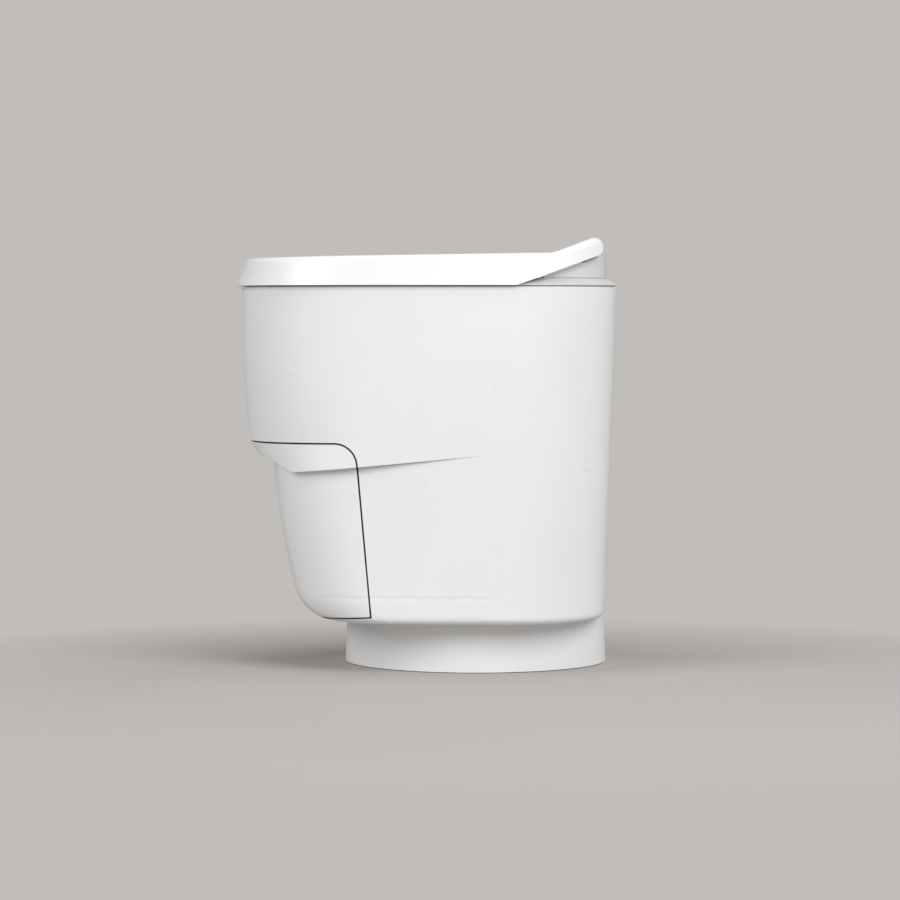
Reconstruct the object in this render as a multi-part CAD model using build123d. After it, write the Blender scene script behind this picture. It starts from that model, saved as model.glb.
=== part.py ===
from build123d import *
import os
from math import acos, cos, degrees, hypot, pi, radians, sin, sqrt, tan

# A film-sealing toilet on a round swivel pedestal, in millimetres.
# The origin is the centre of the pedestal's underside. +Z is up, the front faces -Y
# and the right side faces +X. Angles are in degrees.

# Fits and gaps
RUN = 0.05
SLIP = 0.3
SEAM = 1.8

# Pedestal and swivel
PEDESTAL_HEIGHT = 52.8
PEDESTAL_FOOT_RADIUS = 142.7
PEDESTAL_DRAFT = 2.0
PEDESTAL_WALL = 3.5
PEDESTAL_DECK = 5.0
PEDESTAL_RIBS = 8
RIB_THICKNESS = 3.0
RIB_DEPTH = 16.0
FLANGE_WIDTH = 44.0
FLANGE_THICKNESS = 4.0
FOOT_RING_HEIGHT = 2.3
FOOT_RING_PROUD = 0.8
FOOT_RING_WIDTH = 8.0
FLOOR_BOLTS = 4
FLOOR_BOLT_CIRCLE = 226.0
FLOOR_BOLT_HOLE = 3.3
HUB_RADIUS = 34.0
HUB_WALL = 4.0
HUB_SKIRT = 12.0
SWIVEL_GAP = 1.2
SLIDE_RING_RADIUS = 114.0
SLIDE_RING_WIDTH = 19.0
SLIDE_RING_SEAT = 1.6
SLIDE_RING_PLAY = 0.1
TURNTABLE_RADIUS = 102.0
TURNTABLE_THICKNESS = 3.0
TURNTABLE_BOLTS = 6
TURNTABLE_BOLT_CIRCLE = 180.0
RETAINER_WIDTH = 13.0
RETAINER_THICKNESS = 4.5
RETAINER_NOTCHES = 6
SWIVEL_REACH = 90.0
STOP_PIN_RADIUS = 4.0
STOP_PIN_CIRCLE = 140.0
STOP_GROOVE_DEPTH = 3.4

# Body
BODY_HEIGHT = 354.6
BODY_HALF_WIDTH = 188.0
BODY_REAR = 155.0
BODY_FRONT = 254.4
BODY_WALL = 3.2
SIDE_DRAFT = 2.25
REAR_DRAFT = 2.2
FRONT_LEAN = 8.6
FRONT_LEAN_DROP = 35.6
REAR_CORNER = 110.0
FRONT_CORNER = 130.0
REAR_SWEEP = 700.0
FRONT_SWEEP = 600.0
BOTTOM_ROUND = 7.0
LOW_WALL_SETBACK = 18.4

# Grip lip and recessed lower front
LIP_HEIGHT = 188.0
LIP_CORNER = 88.0
LIP_LEAN = 0.62
LIP_DEPTH = 37.0
ARCH_CROWN = 13.0
ARCH_DROP = 16.0
ARCH_FLAT = 115.0
ARCH_HALF_WIDTH = 150.0
ARCH_ROUND = 90.0
CREASE_START = 199.0
CREASE_SLOPE = 0.092
RECESS_REAR = 45.0
RECESS_PROUD = 0.4
RECESS_SIDE_SWEEP = 1700.0
RECESS_DEPTH = 33.6
RECESS_LEAN = 0.0939
RECESS_CURL = 0.000591
RECESS_CORNER = 92.0
TOE_HEIGHT = 30.0
TOE_DEPTH = 26.0

# Drawer outline, seen from the side
DRAWER_TOP_RISE = 0.5
DRAWER_TOP_SLOPE = 0.010
DRAWER_TOP_PIVOT = 250.2
DRAWER_REAR_TOP = 128.2
DRAWER_REAR_FOOT = 112.2
DRAWER_CORNER = 23.0
DRAWER_SILL = 8.0
DRAWER_SILL_SLOPE = 0.077
DRAWER_SILL_FRONT = 170.0
DRAWER_WALL = 3.0
DRAWER_TRAVEL = 210.0
DRAWER_BOSS = 6.5

# Top frame and hinge console
FRAME_SEAM = 1.6
FRAME_HEIGHT = 7.3
FRAME_EDGE = 0.6
FRAME_BAND = 1.2
FRAME_CHAMFER = 10.0
FRAME_RIM = 2.0
FRAME_FLOOR = 3.2
FRAME_STEP = 70.0
FRAME_SPIGOT = 7.0
FRAME_SPIGOT_WALL = 2.4
CONSOLE_WALL = 3.0
CONSOLE_INSET = 1.6
CONSOLE_GAP = 1.2
CONSOLE_GROOVE = 0.7
CONSOLE_GROOVE_DEPTH = 1.2
CONSOLE_GROOVE_START = 5.0

# Lid and its hinge
HINGE_SETBACK = 124.6
HINGE_HEIGHT = 42.1
HINGE_ROLL = 10.0
WEDGE_ANGLE = 19.8
LID_OVERHANG = 4.2
LID_FRONT_OVERHANG = 6.4
LID_LIFT = 1.6
LID_SIDE_LEAN = 14.0
LID_FRONT_LEAN = 20.0
LID_WALL = 3.0
LID_BEND = 80.0
LID_BEND_HEIGHT = 35.6
LID_TOP_SLOPE = 0.0152
LID_BEND_ROUND = 30.0
LID_ROUND = 8.0
CURL_END = -37.0
EAR_SLOT_END = 58.0
ARM_SLOT_END = 12.0
PIN_RADIUS = 3.0
KNUCKLE_RADIUS = 6.4
EAR_STEM = 5.0
EAR_INNER = 40.0
EAR_THICKNESS = 7.0
LID_KNUCKLE = 9.5
SEAT_KNUCKLE = 17.0
KNUCKLE_PLAY = 0.5

# Seat
SEAT_GAP = 1.4
SEAT_TAPER = 5.5
SEAT_THICKNESS = 18.0
SEAT_FOOT = 3.0
SEAT_REAR = 64.0
SEAT_REAR_CORNER = 24.0
SEAT_SKIN = 3.5
SEAT_OPENING_WIDTH = 200.0
SEAT_OPENING_LENGTH = 250.0
SEAT_OPENING_CORNER = 95.0
SEAT_ROUND = 5.0
SEAT_RIBS = 8
SEAT_ARM_THICKNESS = 8.0
SEAT_ARM_LIFT = 1.0
SEAT_ARM_START = 4.0
BUFFER_RADIUS = 7.0

# Bowl, film cassette and film
BOWL_CENTRE = 84.0
BOWL_WIDTH = 214.0
BOWL_LENGTH = 264.0
BOWL_CORNER = 100.0
CASSETTE_WIDTH = 18.0
CASSETTE_HEIGHT = 22.0
CASSETTE_WALL = 2.0
CASSETTE_SLOT = 3.0
CASSETTE_PLAY = 0.5
CLAMP_THICKNESS = 3.0
FUNNEL_WALL = 2.5
FUNNEL_FLANGE = 10.0
FUNNEL_LEDGE = 3.0
FRAME_OPENING_PLAY = 2.0
OUTLET_WIDTH = 200.0
OUTLET_LENGTH = 90.0
OUTLET_CORNER = 40.0
OUTLET_GAP = 24.0
FILM = 0.8
FILM_PLAY = 0.6
FILM_PLEATS = 6
PLEAT_HEIGHT = 2.2
SEAM_WIDTH = 180.0
SEAM_GAP = 4.0

# Deck and sealing unit
DECK_RISE = 3.6
LEDGE_THICKNESS = 3.0
LEDGE_WIDTH = 12.0
DECK_THICKNESS = 3.0
DECK_EDGE = 1.0
CHUTE_WIDTH = 236.0
CHUTE_LENGTH = 110.0
CHUTE_CORNER = 20.0
SEAL_SETBACK = 72.0
JAW_OPENING = 100.0
JAW_CLOSED_GAP = 1.0
JAW_PROUD = 0.35
JAW_HALF_WIDTH = 140.0
JAW_DEPTH = 22.0
JAW_ABOVE = 13.0
JAW_BELOW = 16.0
AXIS_RISE = 26.0
ROD_RADIUS = 5.0
ROD_OFFSET = 122.0
MEMBER_THICKNESS = 3.0
MEMBER_CLEARANCE = 2.5
PLATE_THICKNESS = 3.0
PLATE_GAP = 3.0
PLATE_FOOT = 12.0
STRIP_HEIGHT = 5.0
STRIP_DEPTH = 2.4
STRIP_RISE = 8.0
STRIP_HALF_LENGTH = 106.0
ROLLER_RADIUS = 7.0
ROLLER_DROP = 5.0
ROLLER_HALF_LENGTH = 108.0
ROLLER_AXLE = 2.5
ROLLER_AXLE_REACH = 5.0
ROLLER_POCKET = 0.6
RACK_MODULE = 2.0
PINION_TEETH = 15
PINION_WIDTH = 7.0
RACK_WIDTH = 8.0
RACK_GAP = 1.0
RACK_BACK = 6.0
RACK_SPARE = 10.0
SHAFT_RADIUS = 4.0
DRIVE_MODULE = 1.5
WHEEL_TEETH = 26
MOTOR_TEETH = 12
WHEEL_POSITION = 60.0
WHEEL_WIDTH = 6.0
WHEEL_CLEARANCE = 7.0
TOOTH_ADDENDUM = 0.8
TOOTH_DEDENDUM = 1.1
BACKLASH = 0.2
PRESSURE_ANGLE = 20.0
MOTOR_RADIUS = 17.0
MOTOR_LENGTH = 58.0
MOTOR_SHAFT = 3.0
BRACKET_THICKNESS = 3.0

# Drawer inside
RETAINER_CLEARANCE = 3.0
CARRIAGE_SHEET = 2.5
CARRIAGE_HALF_WIDTH = 138.0
CARRIAGE_FRONT = 170.0
CARRIAGE_CORNER = 140.0
CARRIAGE_NOSE = 100.0
CARRIAGE_REAR = 62.0
CARRIAGE_SIDE = 46.0
CARRIAGE_FRONT_HEIGHT = 136.0
CONTAINER_HALF_WIDTH = 126.0
CONTAINER_FRONT = 164.0
CONTAINER_REAR = 54.0
CONTAINER_WALL = 2.5
CONTAINER_CORNER = 30.0
CONTAINER_TAPER = 4.0
CONTAINER_RIM = 6.0
CONTAINER_CLEARANCE = 10.0
RUNNER_SHEET = 1.5
RUNNER_PLAY = 0.5
RUNNER_HEIGHT = 24.0
RUNNER_DEPTH = 13.5
RUNNER_RISE = 36.0
RUNNER_FRONT = 140.0
RUNNER_LENGTH = 220.0
BRACKET_WIDTH = 24.0
MAGNET_RADIUS = 5.0
MAGNET_LENGTH = 4.0
MAGNET_OFFSET = 112.0

# Electrics
FASCIA_LENGTH = 72.0
FASCIA_HEIGHT = 28.0
FASCIA_SETBACK = 10.0
FASCIA_DROP = 37.0
FASCIA_PROUD = 1.0
FASCIA_DEPTH = 9.0
FASCIA_SKIN = 2.0
BUTTON_RADIUS = 8.3
BUTTON_SPACING = 36.0
BUTTON_PROUD = 1.5
BUTTON_TRAVEL = 1.3
BUTTON_PLAY = 0.15
LENS_RADIUS = 2.0
INLET_RADIUS = 11.0
INLET_RISE = 40.0
BOARD_WIDTH = 110.0
BOARD_HEIGHT = 56.0
BOARD_SETBACK = 112.0
BOARD_THICKNESS = 1.6

# Fasteners
SCREW_RADIUS = 1.75
SCREW_HEAD = 3.6
SCREW_HEAD_HEIGHT = 2.2
SCREW_GRIP = 2.2

# Heights that follow from the sizes above
BODY_BOTTOM = PEDESTAL_HEIGHT + SWIVEL_GAP
BODY_TOP = BODY_BOTTOM + BODY_HEIGHT
FLOOR_TOP = BODY_BOTTOM + BODY_WALL
SLIDE_RING_TOP = BODY_BOTTOM - SLIDE_RING_PLAY
TURNTABLE_TOP = FLOOR_TOP + TURNTABLE_THICKNESS
RETAINER_BOTTOM = TURNTABLE_TOP + SLIDE_RING_PLAY
HUB_TOP = RETAINER_BOTTOM + RETAINER_THICKNESS
LIP_TOP = BODY_BOTTOM + LIP_HEIGHT
LIP_BOTTOM = LIP_TOP - LIP_DEPTH
ARCH_TOP = LIP_TOP - ARCH_CROWN
ARCH_FOOT = ARCH_TOP - ARCH_DROP
FRAME_BOTTOM = BODY_TOP + FRAME_SEAM
FRAME_TOP = FRAME_BOTTOM + FRAME_HEIGHT
FRAME_SEAT = FRAME_BOTTOM + FRAME_FLOOR
HINGE_Z = BODY_TOP + HINGE_HEIGHT
LID_BOTTOM = BODY_TOP + LID_LIFT
SEAT_BOTTOM = FRAME_SEAT + SEAT_FOOT
SEAT_TOP = SEAT_BOTTOM + SEAT_THICKNESS
DECK_BOTTOM = LIP_TOP + DECK_RISE + LEDGE_THICKNESS
DECK_TOP = DECK_BOTTOM + DECK_THICKNESS
AXIS_Z = DECK_TOP + AXIS_RISE
JAW_TOP = AXIS_Z + JAW_ABOVE
JAW_BOTTOM = AXIS_Z - JAW_BELOW
OUTLET_Z = JAW_TOP + OUTLET_GAP
CASSETTE_TOP = FRAME_SEAT - CLAMP_THICKNESS
CASSETTE_BOTTOM = CASSETTE_TOP - CASSETTE_HEIGHT
DRAWER_BOTTOM = HUB_TOP + RETAINER_CLEARANCE
CARRIAGE_FLOOR = DRAWER_BOTTOM + CARRIAGE_SHEET
CONTAINER_TOP = DECK_BOTTOM - CONTAINER_CLEARANCE
RUNNER_Z = DRAWER_BOTTOM + RUNNER_RISE
FASCIA_Z = BODY_TOP - FASCIA_DROP
INLET_Z = BODY_BOTTOM + INLET_RISE

# Places that follow from the sizes above
HINGE_Y = HINGE_SETBACK
BOWL_Y = -BOWL_CENTRE
SEAL_Y = -SEAL_SETBACK
JAW_TRAVEL = (JAW_OPENING - JAW_CLOSED_GAP) / 2
FRONT_FACE = SEAL_Y - JAW_OPENING / 2
REAR_FACE = SEAL_Y + JAW_OPENING / 2
FRONT_BACK = FRONT_FACE - JAW_DEPTH
REAR_BACK = REAR_FACE + JAW_DEPTH
PINION_RADIUS = RACK_MODULE * PINION_TEETH / 2
WHEEL_RADIUS = DRIVE_MODULE * WHEEL_TEETH / 2
MOTOR_PINION_RADIUS = DRIVE_MODULE * MOTOR_TEETH / 2
SHAFT_Y = REAR_BACK + WHEEL_CLEARANCE + WHEEL_RADIUS + DRIVE_MODULE
MOTOR_Y = SHAFT_Y + WHEEL_RADIUS + MOTOR_PINION_RADIUS
MOTOR_FACE = WHEEL_POSITION - BRACKET_THICKNESS - 1.0
RACK_INNER = JAW_HALF_WIDTH + RACK_GAP
RACK_OUTER = RACK_INNER + RACK_WIDTH
PLATE_INNER = RACK_OUTER + PLATE_GAP
PLATE_OUTER = PLATE_INNER + PLATE_THICKNESS
FRONT_MEMBER_Y = FRONT_BACK - MEMBER_CLEARANCE - MEMBER_THICKNESS
REAR_MEMBER_Y = REAR_BACK + MEMBER_CLEARANCE
ROLLER_Z = AXIS_Z - ROLLER_DROP
STRIP_Z = AXIS_Z + STRIP_RISE
FRONT_ROLLER_Y = FRONT_FACE - ROLLER_RADIUS + JAW_PROUD
REAR_ROLLER_Y = REAR_FACE + ROLLER_RADIUS - JAW_PROUD
LID_KNUCKLE_A = EAR_INNER + EAR_THICKNESS + KNUCKLE_PLAY
SEAT_KNUCKLE_X = LID_KNUCKLE_A + LID_KNUCKLE + KNUCKLE_PLAY
LID_KNUCKLE_B = SEAT_KNUCKLE_X + SEAT_KNUCKLE + KNUCKLE_PLAY
EAR_OUTER = LID_KNUCKLE_B + LID_KNUCKLE + KNUCKLE_PLAY
RUNNER_OUTER = CARRIAGE_HALF_WIDTH + RUNNER_DEPTH
FASCIA_X = BODY_HALF_WIDTH - FASCIA_DROP * tan(radians(SIDE_DRAFT)) + FASCIA_PROUD
MAGNET_Y = CARRIAGE_REAR + 2.4


# Simple solids between limits
def box(x0, x1, y0, y1, z0, z1):
    return Pos((x0 + x1) / 2, (y0 + y1) / 2, (z0 + z1) / 2) * Box(x1 - x0, y1 - y0, z1 - z0)


def rod_x(radius, x0, x1, y, z):
    return Pos((x0 + x1) / 2, y, z) * Rot(0, 90, 0) * Cylinder(radius, x1 - x0)


def rod_y(radius, y0, y1, x, z):
    return Pos(x, (y0 + y1) / 2, z) * Rot(90, 0, 0) * Cylinder(radius, y1 - y0)


def rod_z(radius, z0, z1, x=0.0, y=0.0):
    return Pos(x, y, (z0 + z1) / 2) * Cylinder(radius, z1 - z0)


def ring(outer, inner, z0, z1):
    return rod_z(outer, z0, z1) - rod_z(inner, z0 - 1, z1 + 1)


def side_prism(points, x0, x1):
    face = make_face(Polyline(*points, close=True))
    return Pos(x0, 0, 0) * extrude(Plane.YZ * face, amount=x1 - x0, dir=(1, 0, 0))


def rounded(width, length, corner, y, z0, z1):
    face = Pos(0, y, z0) * RectangleRounded(width, length, corner)
    return extrude(face, amount=z1 - z0, dir=(0, 0, 1))


def rounded_loft(sections):
    faces = [Pos(0, y, z) * RectangleRounded(width, length, corner)
             for width, length, corner, y, z in sections]
    return loft(faces, ruled=True)


def both_sides(shape):
    return shape + mirror(shape, about=Plane.YZ)


def group(*shapes):
    return Compound(children=[solid for shape in shapes for solid in shape.solids()])


# A point at a distance from a centre, towards the middle of two others
def arc_middle(centre, radius, a, b):
    way = Vector((a[0] + b[0]) / 2 - centre[0], (a[1] + b[1]) / 2 - centre[1]).normalized()
    return (centre[0] + way.X * radius, centre[1] + way.Y * radius)


# Plan outline of the body at one height: straight sides, corner arcs, swept ends
def plan(z, half, rear, front, inset=0.0, rear_corner=REAR_CORNER, front_corner=FRONT_CORNER):
    half, rear, front = half - inset, rear - inset, front - inset
    rear_corner, front_corner = rear_corner - inset, front_corner - inset
    rear_sweep, front_sweep = REAR_SWEEP - inset, FRONT_SWEEP - inset
    rx = half - rear_corner
    ry = rear - rear_sweep + sqrt((rear_sweep - rear_corner) ** 2 - rx ** 2)
    grow = rear_sweep / (rear_sweep - rear_corner)
    tx = rx * grow
    ty = rear - rear_sweep + (ry - rear + rear_sweep) * grow
    fx = half - front_corner
    fy = front_sweep - front - sqrt((front_sweep - front_corner) ** 2 - fx ** 2)
    grow = front_sweep / (front_sweep - front_corner)
    ux = fx * grow
    uy = front_sweep - front + (fy + front - front_sweep) * grow
    m = arc_middle((rx, ry), rear_corner, (tx, ty), (half, ry))
    n = arc_middle((fx, fy), front_corner, (ux, uy), (half, fy))
    edges = [
        ThreePointArc((tx, ty), (0, rear), (-tx, ty)),
        ThreePointArc((-tx, ty), (-m[0], m[1]), (-half, ry)),
        Line((-half, ry), (-half, fy)),
        ThreePointArc((-half, fy), (-n[0], n[1]), (-ux, uy)),
        ThreePointArc((-ux, uy), (0, -front), (ux, uy)),
        ThreePointArc((ux, uy), n, (half, fy)),
        Line((half, fy), (half, ry)),
        ThreePointArc((half, ry), m, (tx, ty)),
    ]
    return Pos(0, 0, z) * make_face(Curve() + edges)


def half_at(z):
    return BODY_HALF_WIDTH - (BODY_TOP - z) * tan(radians(SIDE_DRAFT))


def rear_at(z):
    return BODY_REAR - (BODY_TOP - z) * tan(radians(REAR_DRAFT))


def front_at(z):
    lean_top = BODY_TOP - FRONT_LEAN_DROP
    down = max(0.0, (lean_top - z) / (lean_top - LIP_TOP))
    return BODY_FRONT - FRONT_LEAN * down ** 2


def body_plan(z, inset):
    return plan(z, half_at(z), rear_at(z), front_at(z), inset)


# Body above the recess: the smooth upper walls, the lip and the walls down to the bottom
def body_stack(inset):
    span = BODY_TOP - LIP_TOP
    upper = loft([body_plan(LIP_TOP + span * i / 4, inset) for i in range(5)])
    lip_front = front_at(LIP_TOP) - LIP_LEAN * LIP_DEPTH
    lip = loft([body_plan(LIP_TOP, inset),
                plan(LIP_BOTTOM, half_at(LIP_BOTTOM), rear_at(LIP_BOTTOM), lip_front, inset,
                     REAR_CORNER, LIP_CORNER)], ruled=True)
    low_front = BODY_FRONT - LOW_WALL_SETBACK
    bottom = BODY_BOTTOM + inset
    low = loft([plan(z, half_at(z), rear_at(z), low_front, inset, REAR_CORNER, LIP_CORNER)
                for z in (LIP_BOTTOM, bottom)], ruled=True)
    edges = low.edges().filter_by_position(Axis.Z, bottom - 0.01, bottom + 0.01)
    low = fillet(edges, BOTTOM_ROUND - inset)
    return upper + lip + low


# Plan of the recessed lower front: sides that swing in, closed by a straight line behind
def recess_plan(z, half, front, corner, inset):
    half, front, corner = half - inset, front - inset, corner - inset
    side_sweep, front_sweep = RECESS_SIDE_SWEEP - inset, FRONT_SWEEP - inset
    side = (half - side_sweep, RECESS_REAR)
    nose = (0.0, front_sweep - front)
    ra, rb = side_sweep - corner, front_sweep - corner
    dx, dy = nose[0] - side[0], nose[1] - side[1]
    d = hypot(dx, dy)
    q = (ra * ra - rb * rb + d * d) / (2 * d)
    h = sqrt(ra * ra - q * q)
    centre = (side[0] + q * dx / d + h * dy / d, side[1] + q * dy / d - h * dx / d)
    ta = arc_middle(side, side_sweep, centre, centre)
    tb = arc_middle(nose, front_sweep, centre, centre)
    m = arc_middle(centre, corner, ta, tb)
    a = (side[0] + side_sweep, RECESS_REAR)
    am = arc_middle(side, side_sweep, a, ta)
    edges = [
        Line((-a[0], a[1]), a),
        ThreePointArc(a, am, ta),
        ThreePointArc(ta, m, tb),
        ThreePointArc(tb, (0, -front), (-tb[0], tb[1])),
        ThreePointArc((-tb[0], tb[1]), (-m[0], m[1]), (-ta[0], ta[1])),
        ThreePointArc((-ta[0], ta[1]), (-am[0], am[1]), (-a[0], a[1])),
    ]
    return Pos(0, 0, z) * make_face(Curve() + edges)


# How far an elliptical bottom rounding steps in at a height
def toe(z, foot, height, depth):
    u = (foot + height - z) / height
    return depth * (1 - sqrt(max(0.0, 1 - u * u))) if u > 0 else 0.0


def recess_section(z, inset):
    foot = BODY_BOTTOM + inset
    down = ARCH_FOOT + 3 - z
    front = BODY_FRONT - RECESS_DEPTH - RECESS_LEAN * down - RECESS_CURL * max(0.0, down) ** 2
    step = toe(z, foot, TOE_HEIGHT, TOE_DEPTH)
    small = BOTTOM_ROUND - inset
    half = half_at(z) + RECESS_PROUD - toe(z, foot, small, small)
    return recess_plan(z, half, front - step, RECESS_CORNER - step / 2, inset)


def recess_body(inset):
    foot = BODY_BOTTOM + inset
    top = LIP_TOP + 10
    low = loft([recess_section(foot + TOE_HEIGHT * (1 - cos(radians(90 * i / 7))), inset)
                for i in range(8)])
    start = foot + TOE_HEIGHT
    flank = loft([recess_section(start + (top - start) * i / 5, inset) for i in range(6)])
    return low + flank


# What is cut away in front of the recessed body: below the crease and under the arch
def recess_cutter(inset):
    fall = ARCH_DROP / (ARCH_HALF_WIDTH - ARCH_FLAT)
    wide = BODY_HALF_WIDTH + 72
    foot = ARCH_FOOT - (wide - ARCH_HALF_WIDTH) * fall
    points = [(-wide, 20), (wide, 20), (wide, foot), (ARCH_FLAT, ARCH_TOP),
              (-ARCH_FLAT, ARCH_TOP), (-wide, foot)]
    face = make_face(Polyline(*points, close=True))
    face = fillet(face.vertices().filter_by_position(Axis.Y, ARCH_TOP - 1, ARCH_TOP + 1), ARCH_ROUND)
    if inset:
        face = offset(face, inset, kind=Kind.INTERSECTION)
    front = extrude(Plane.XZ * face, amount=320, dir=(0, -1, 0)) & box(-400, 400, -300, 5, 0, 400)

    def crease(y):
        return ARCH_FOOT + 0.1 + CREASE_SLOPE * (y + CREASE_START) + inset

    near, far = -320.0, RECESS_REAR - 10
    sides = side_prism([(near, 20), (far, 20), (far, crease(far)), (near, crease(near))], -wide, wide)
    return front + sides - recess_body(inset)


def body_form(inset):
    return body_stack(inset) - recess_cutter(inset)


# The drawer front's outline on the side of the body, grown by a gap
def drawer_region(grow):
    def top(y):
        return LIP_TOP + DRAWER_TOP_RISE + DRAWER_TOP_SLOPE * (y + DRAWER_TOP_PIVOT)
    sill = BODY_BOTTOM + DRAWER_SILL
    ahead = -(BODY_FRONT + 60)
    rear_slope = (DRAWER_REAR_FOOT - DRAWER_REAR_TOP) / (sill - LIP_TOP)
    rear_top = -DRAWER_REAR_FOOT + rear_slope * (sill - LIP_TOP)
    points = [
        (ahead, top(ahead)),
        (rear_top, top(rear_top)),
        (-DRAWER_REAR_FOOT, sill),
        (-DRAWER_SILL_FRONT, sill - DRAWER_SILL_SLOPE * (DRAWER_SILL_FRONT - DRAWER_REAR_FOOT)),
        (-DRAWER_SILL_FRONT, BODY_BOTTOM - 30),
        (ahead, BODY_BOTTOM - 30),
    ]
    face = make_face(Polyline(*points, close=True))
    corner = [v for v in face.vertices() if abs(v.X - rear_top) < 0.1]
    face = fillet(corner, DRAWER_CORNER)
    if grow:
        face = offset(face, grow, kind=Kind.INTERSECTION)
    return extrude(Plane.YZ * face, amount=300, dir=(1, 0, 0), both=True)


def body_ledge():
    low, high = DECK_BOTTOM - LEDGE_THICKNESS, DECK_BOTTOM
    outer = loft([body_plan(z, BODY_WALL - 1) for z in (low, high)], ruled=True)
    inner = loft([body_plan(z, BODY_WALL + LEDGE_WIDTH) for z in (low, high)], ruled=True)
    return outer - inner


def magnet_posts():
    post = box(MAGNET_OFFSET - 8, MAGNET_OFFSET + 8, MAGNET_Y, MAGNET_Y + 8, FLOOR_TOP - 1, RUNNER_Z)
    hole = rod_y(MAGNET_RADIUS, MAGNET_Y - 1, MAGNET_Y + MAGNET_LENGTH, MAGNET_OFFSET, RUNNER_Z - 8)
    return both_sides(post - hole)


def deck_screw_places():
    side = half_at(DECK_BOTTOM) - BODY_WALL - LEDGE_WIDTH * 0.6
    rear = rear_at(DECK_BOTTOM) - BODY_WALL - LEDGE_WIDTH * 0.6
    front = front_at(DECK_BOTTOM) - BODY_WALL - LEDGE_WIDTH * 0.6
    return [(x, y) for x in (-side, side) for y in (-80.0, 20.0)] + [
        (-45, rear - 1.5), (45, rear - 1.5), (-45, -front + 1.7), (45, -front + 1.7)]


def turntable_screw_places():
    r = TURNTABLE_BOLT_CIRCLE / 2
    angles = [radians(360 * (i + 0.5) / TURNTABLE_BOLTS) for i in range(TURNTABLE_BOLTS)]
    return [(r * cos(a), r * sin(a)) for a in angles]


def screws(places, bearing, sign):
    # sign +1: the head is above its bearing face, -1: below it
    made = []
    for x, y, grip in places:
        tip, top = bearing - sign * grip, bearing + sign * SCREW_HEAD_HEIGHT
        shank = rod_z(SCREW_RADIUS, min(tip, bearing), max(tip, bearing), x, y)
        face = Pos(x, y, min(bearing, top)) * RegularPolygon(SCREW_HEAD, 6)
        made.append(shank + extrude(face, amount=SCREW_HEAD_HEIGHT, dir=(0, 0, 1)))
    return group(*made)


def screw_holes(places, z0, z1):
    return [rod_z(SCREW_RADIUS, z0, z1, x, y) for x, y in places]


def fascia_outline(grow, x0, x1):
    face = RectangleRounded(FASCIA_LENGTH + 2 * grow, FASCIA_HEIGHT + 2 * grow, FASCIA_HEIGHT / 2 + grow - 0.1)
    face = Plane.YZ * face
    return Pos(x0, FASCIA_SETBACK, FASCIA_Z) * extrude(face, amount=x1 - x0, dir=(1, 0, 0))


# Body shell with its floor, deck ledge, drawer opening and holes
def body_shell(outer, inner):
    shell = outer - inner
    shell = shell + body_ledge() + magnet_posts()
    shell = shell - drawer_region(SEAM)
    shell = shell - rod_z(HUB_RADIUS + RUN, BODY_BOTTOM - 1, TURNTABLE_TOP)
    shell = shell - rod_z(STOP_PIN_RADIUS, BODY_BOTTOM - 1, TURNTABLE_TOP, 0, -STOP_PIN_CIRCLE / 2)
    shell = shell - screw_holes(turntable_screw_places(), FLOOR_TOP - SCREW_GRIP, TURNTABLE_TOP)
    shell = shell - screw_holes(deck_screw_places(), DECK_BOTTOM - SCREW_GRIP, DECK_TOP)
    shell = shell - fascia_outline(SLIP, -FASCIA_X - 5, -FASCIA_X + 12)
    shell = shell - rod_y(INLET_RADIUS + RUN, rear_at(INLET_Z) - 12, rear_at(INLET_Z) + 12, 0, INLET_Z)
    return largest(shell)


def largest(shape):
    return sorted(shape.solids(), key=lambda solid: solid.volume)[-1]


def boss_places():
    return [(x, z) for x in (-88.0, 88.0) for z in (DRAWER_BOTTOM + 26, DRAWER_BOTTOM + 118)]


def drawer_front(outer, inner_drawer):
    front = largest((outer & drawer_region(0)) - inner_drawer)
    plate = -CARRIAGE_FRONT - CARRIAGE_SHEET
    middle = [rod_y(DRAWER_BOSS, -BODY_FRONT, plate, x, z) for x, z in boss_places()]
    bosses = [b & inner_drawer for b in middle]
    grown = [largest(b) for b in bosses]
    for boss in grown:
        front = front + boss
    holes = [rod_y(SCREW_RADIUS, plate - SCREW_GRIP * 2, plate + 1, x, z) for x, z in boss_places()]
    return largest(front - holes)


def front_screws():
    made = []
    for x, z in boss_places():
        shank = rod_y(SCREW_RADIUS, -CARRIAGE_FRONT - CARRIAGE_SHEET - SCREW_GRIP * 2, -CARRIAGE_FRONT, x, z)
        head = Plane.XZ * RegularPolygon(SCREW_HEAD, 6)
        head = Pos(x, -CARRIAGE_FRONT, z) * extrude(head, amount=SCREW_HEAD_HEIGHT, dir=(0, 1, 0))
        made.append(shank + head)
    return group(*made)


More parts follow.
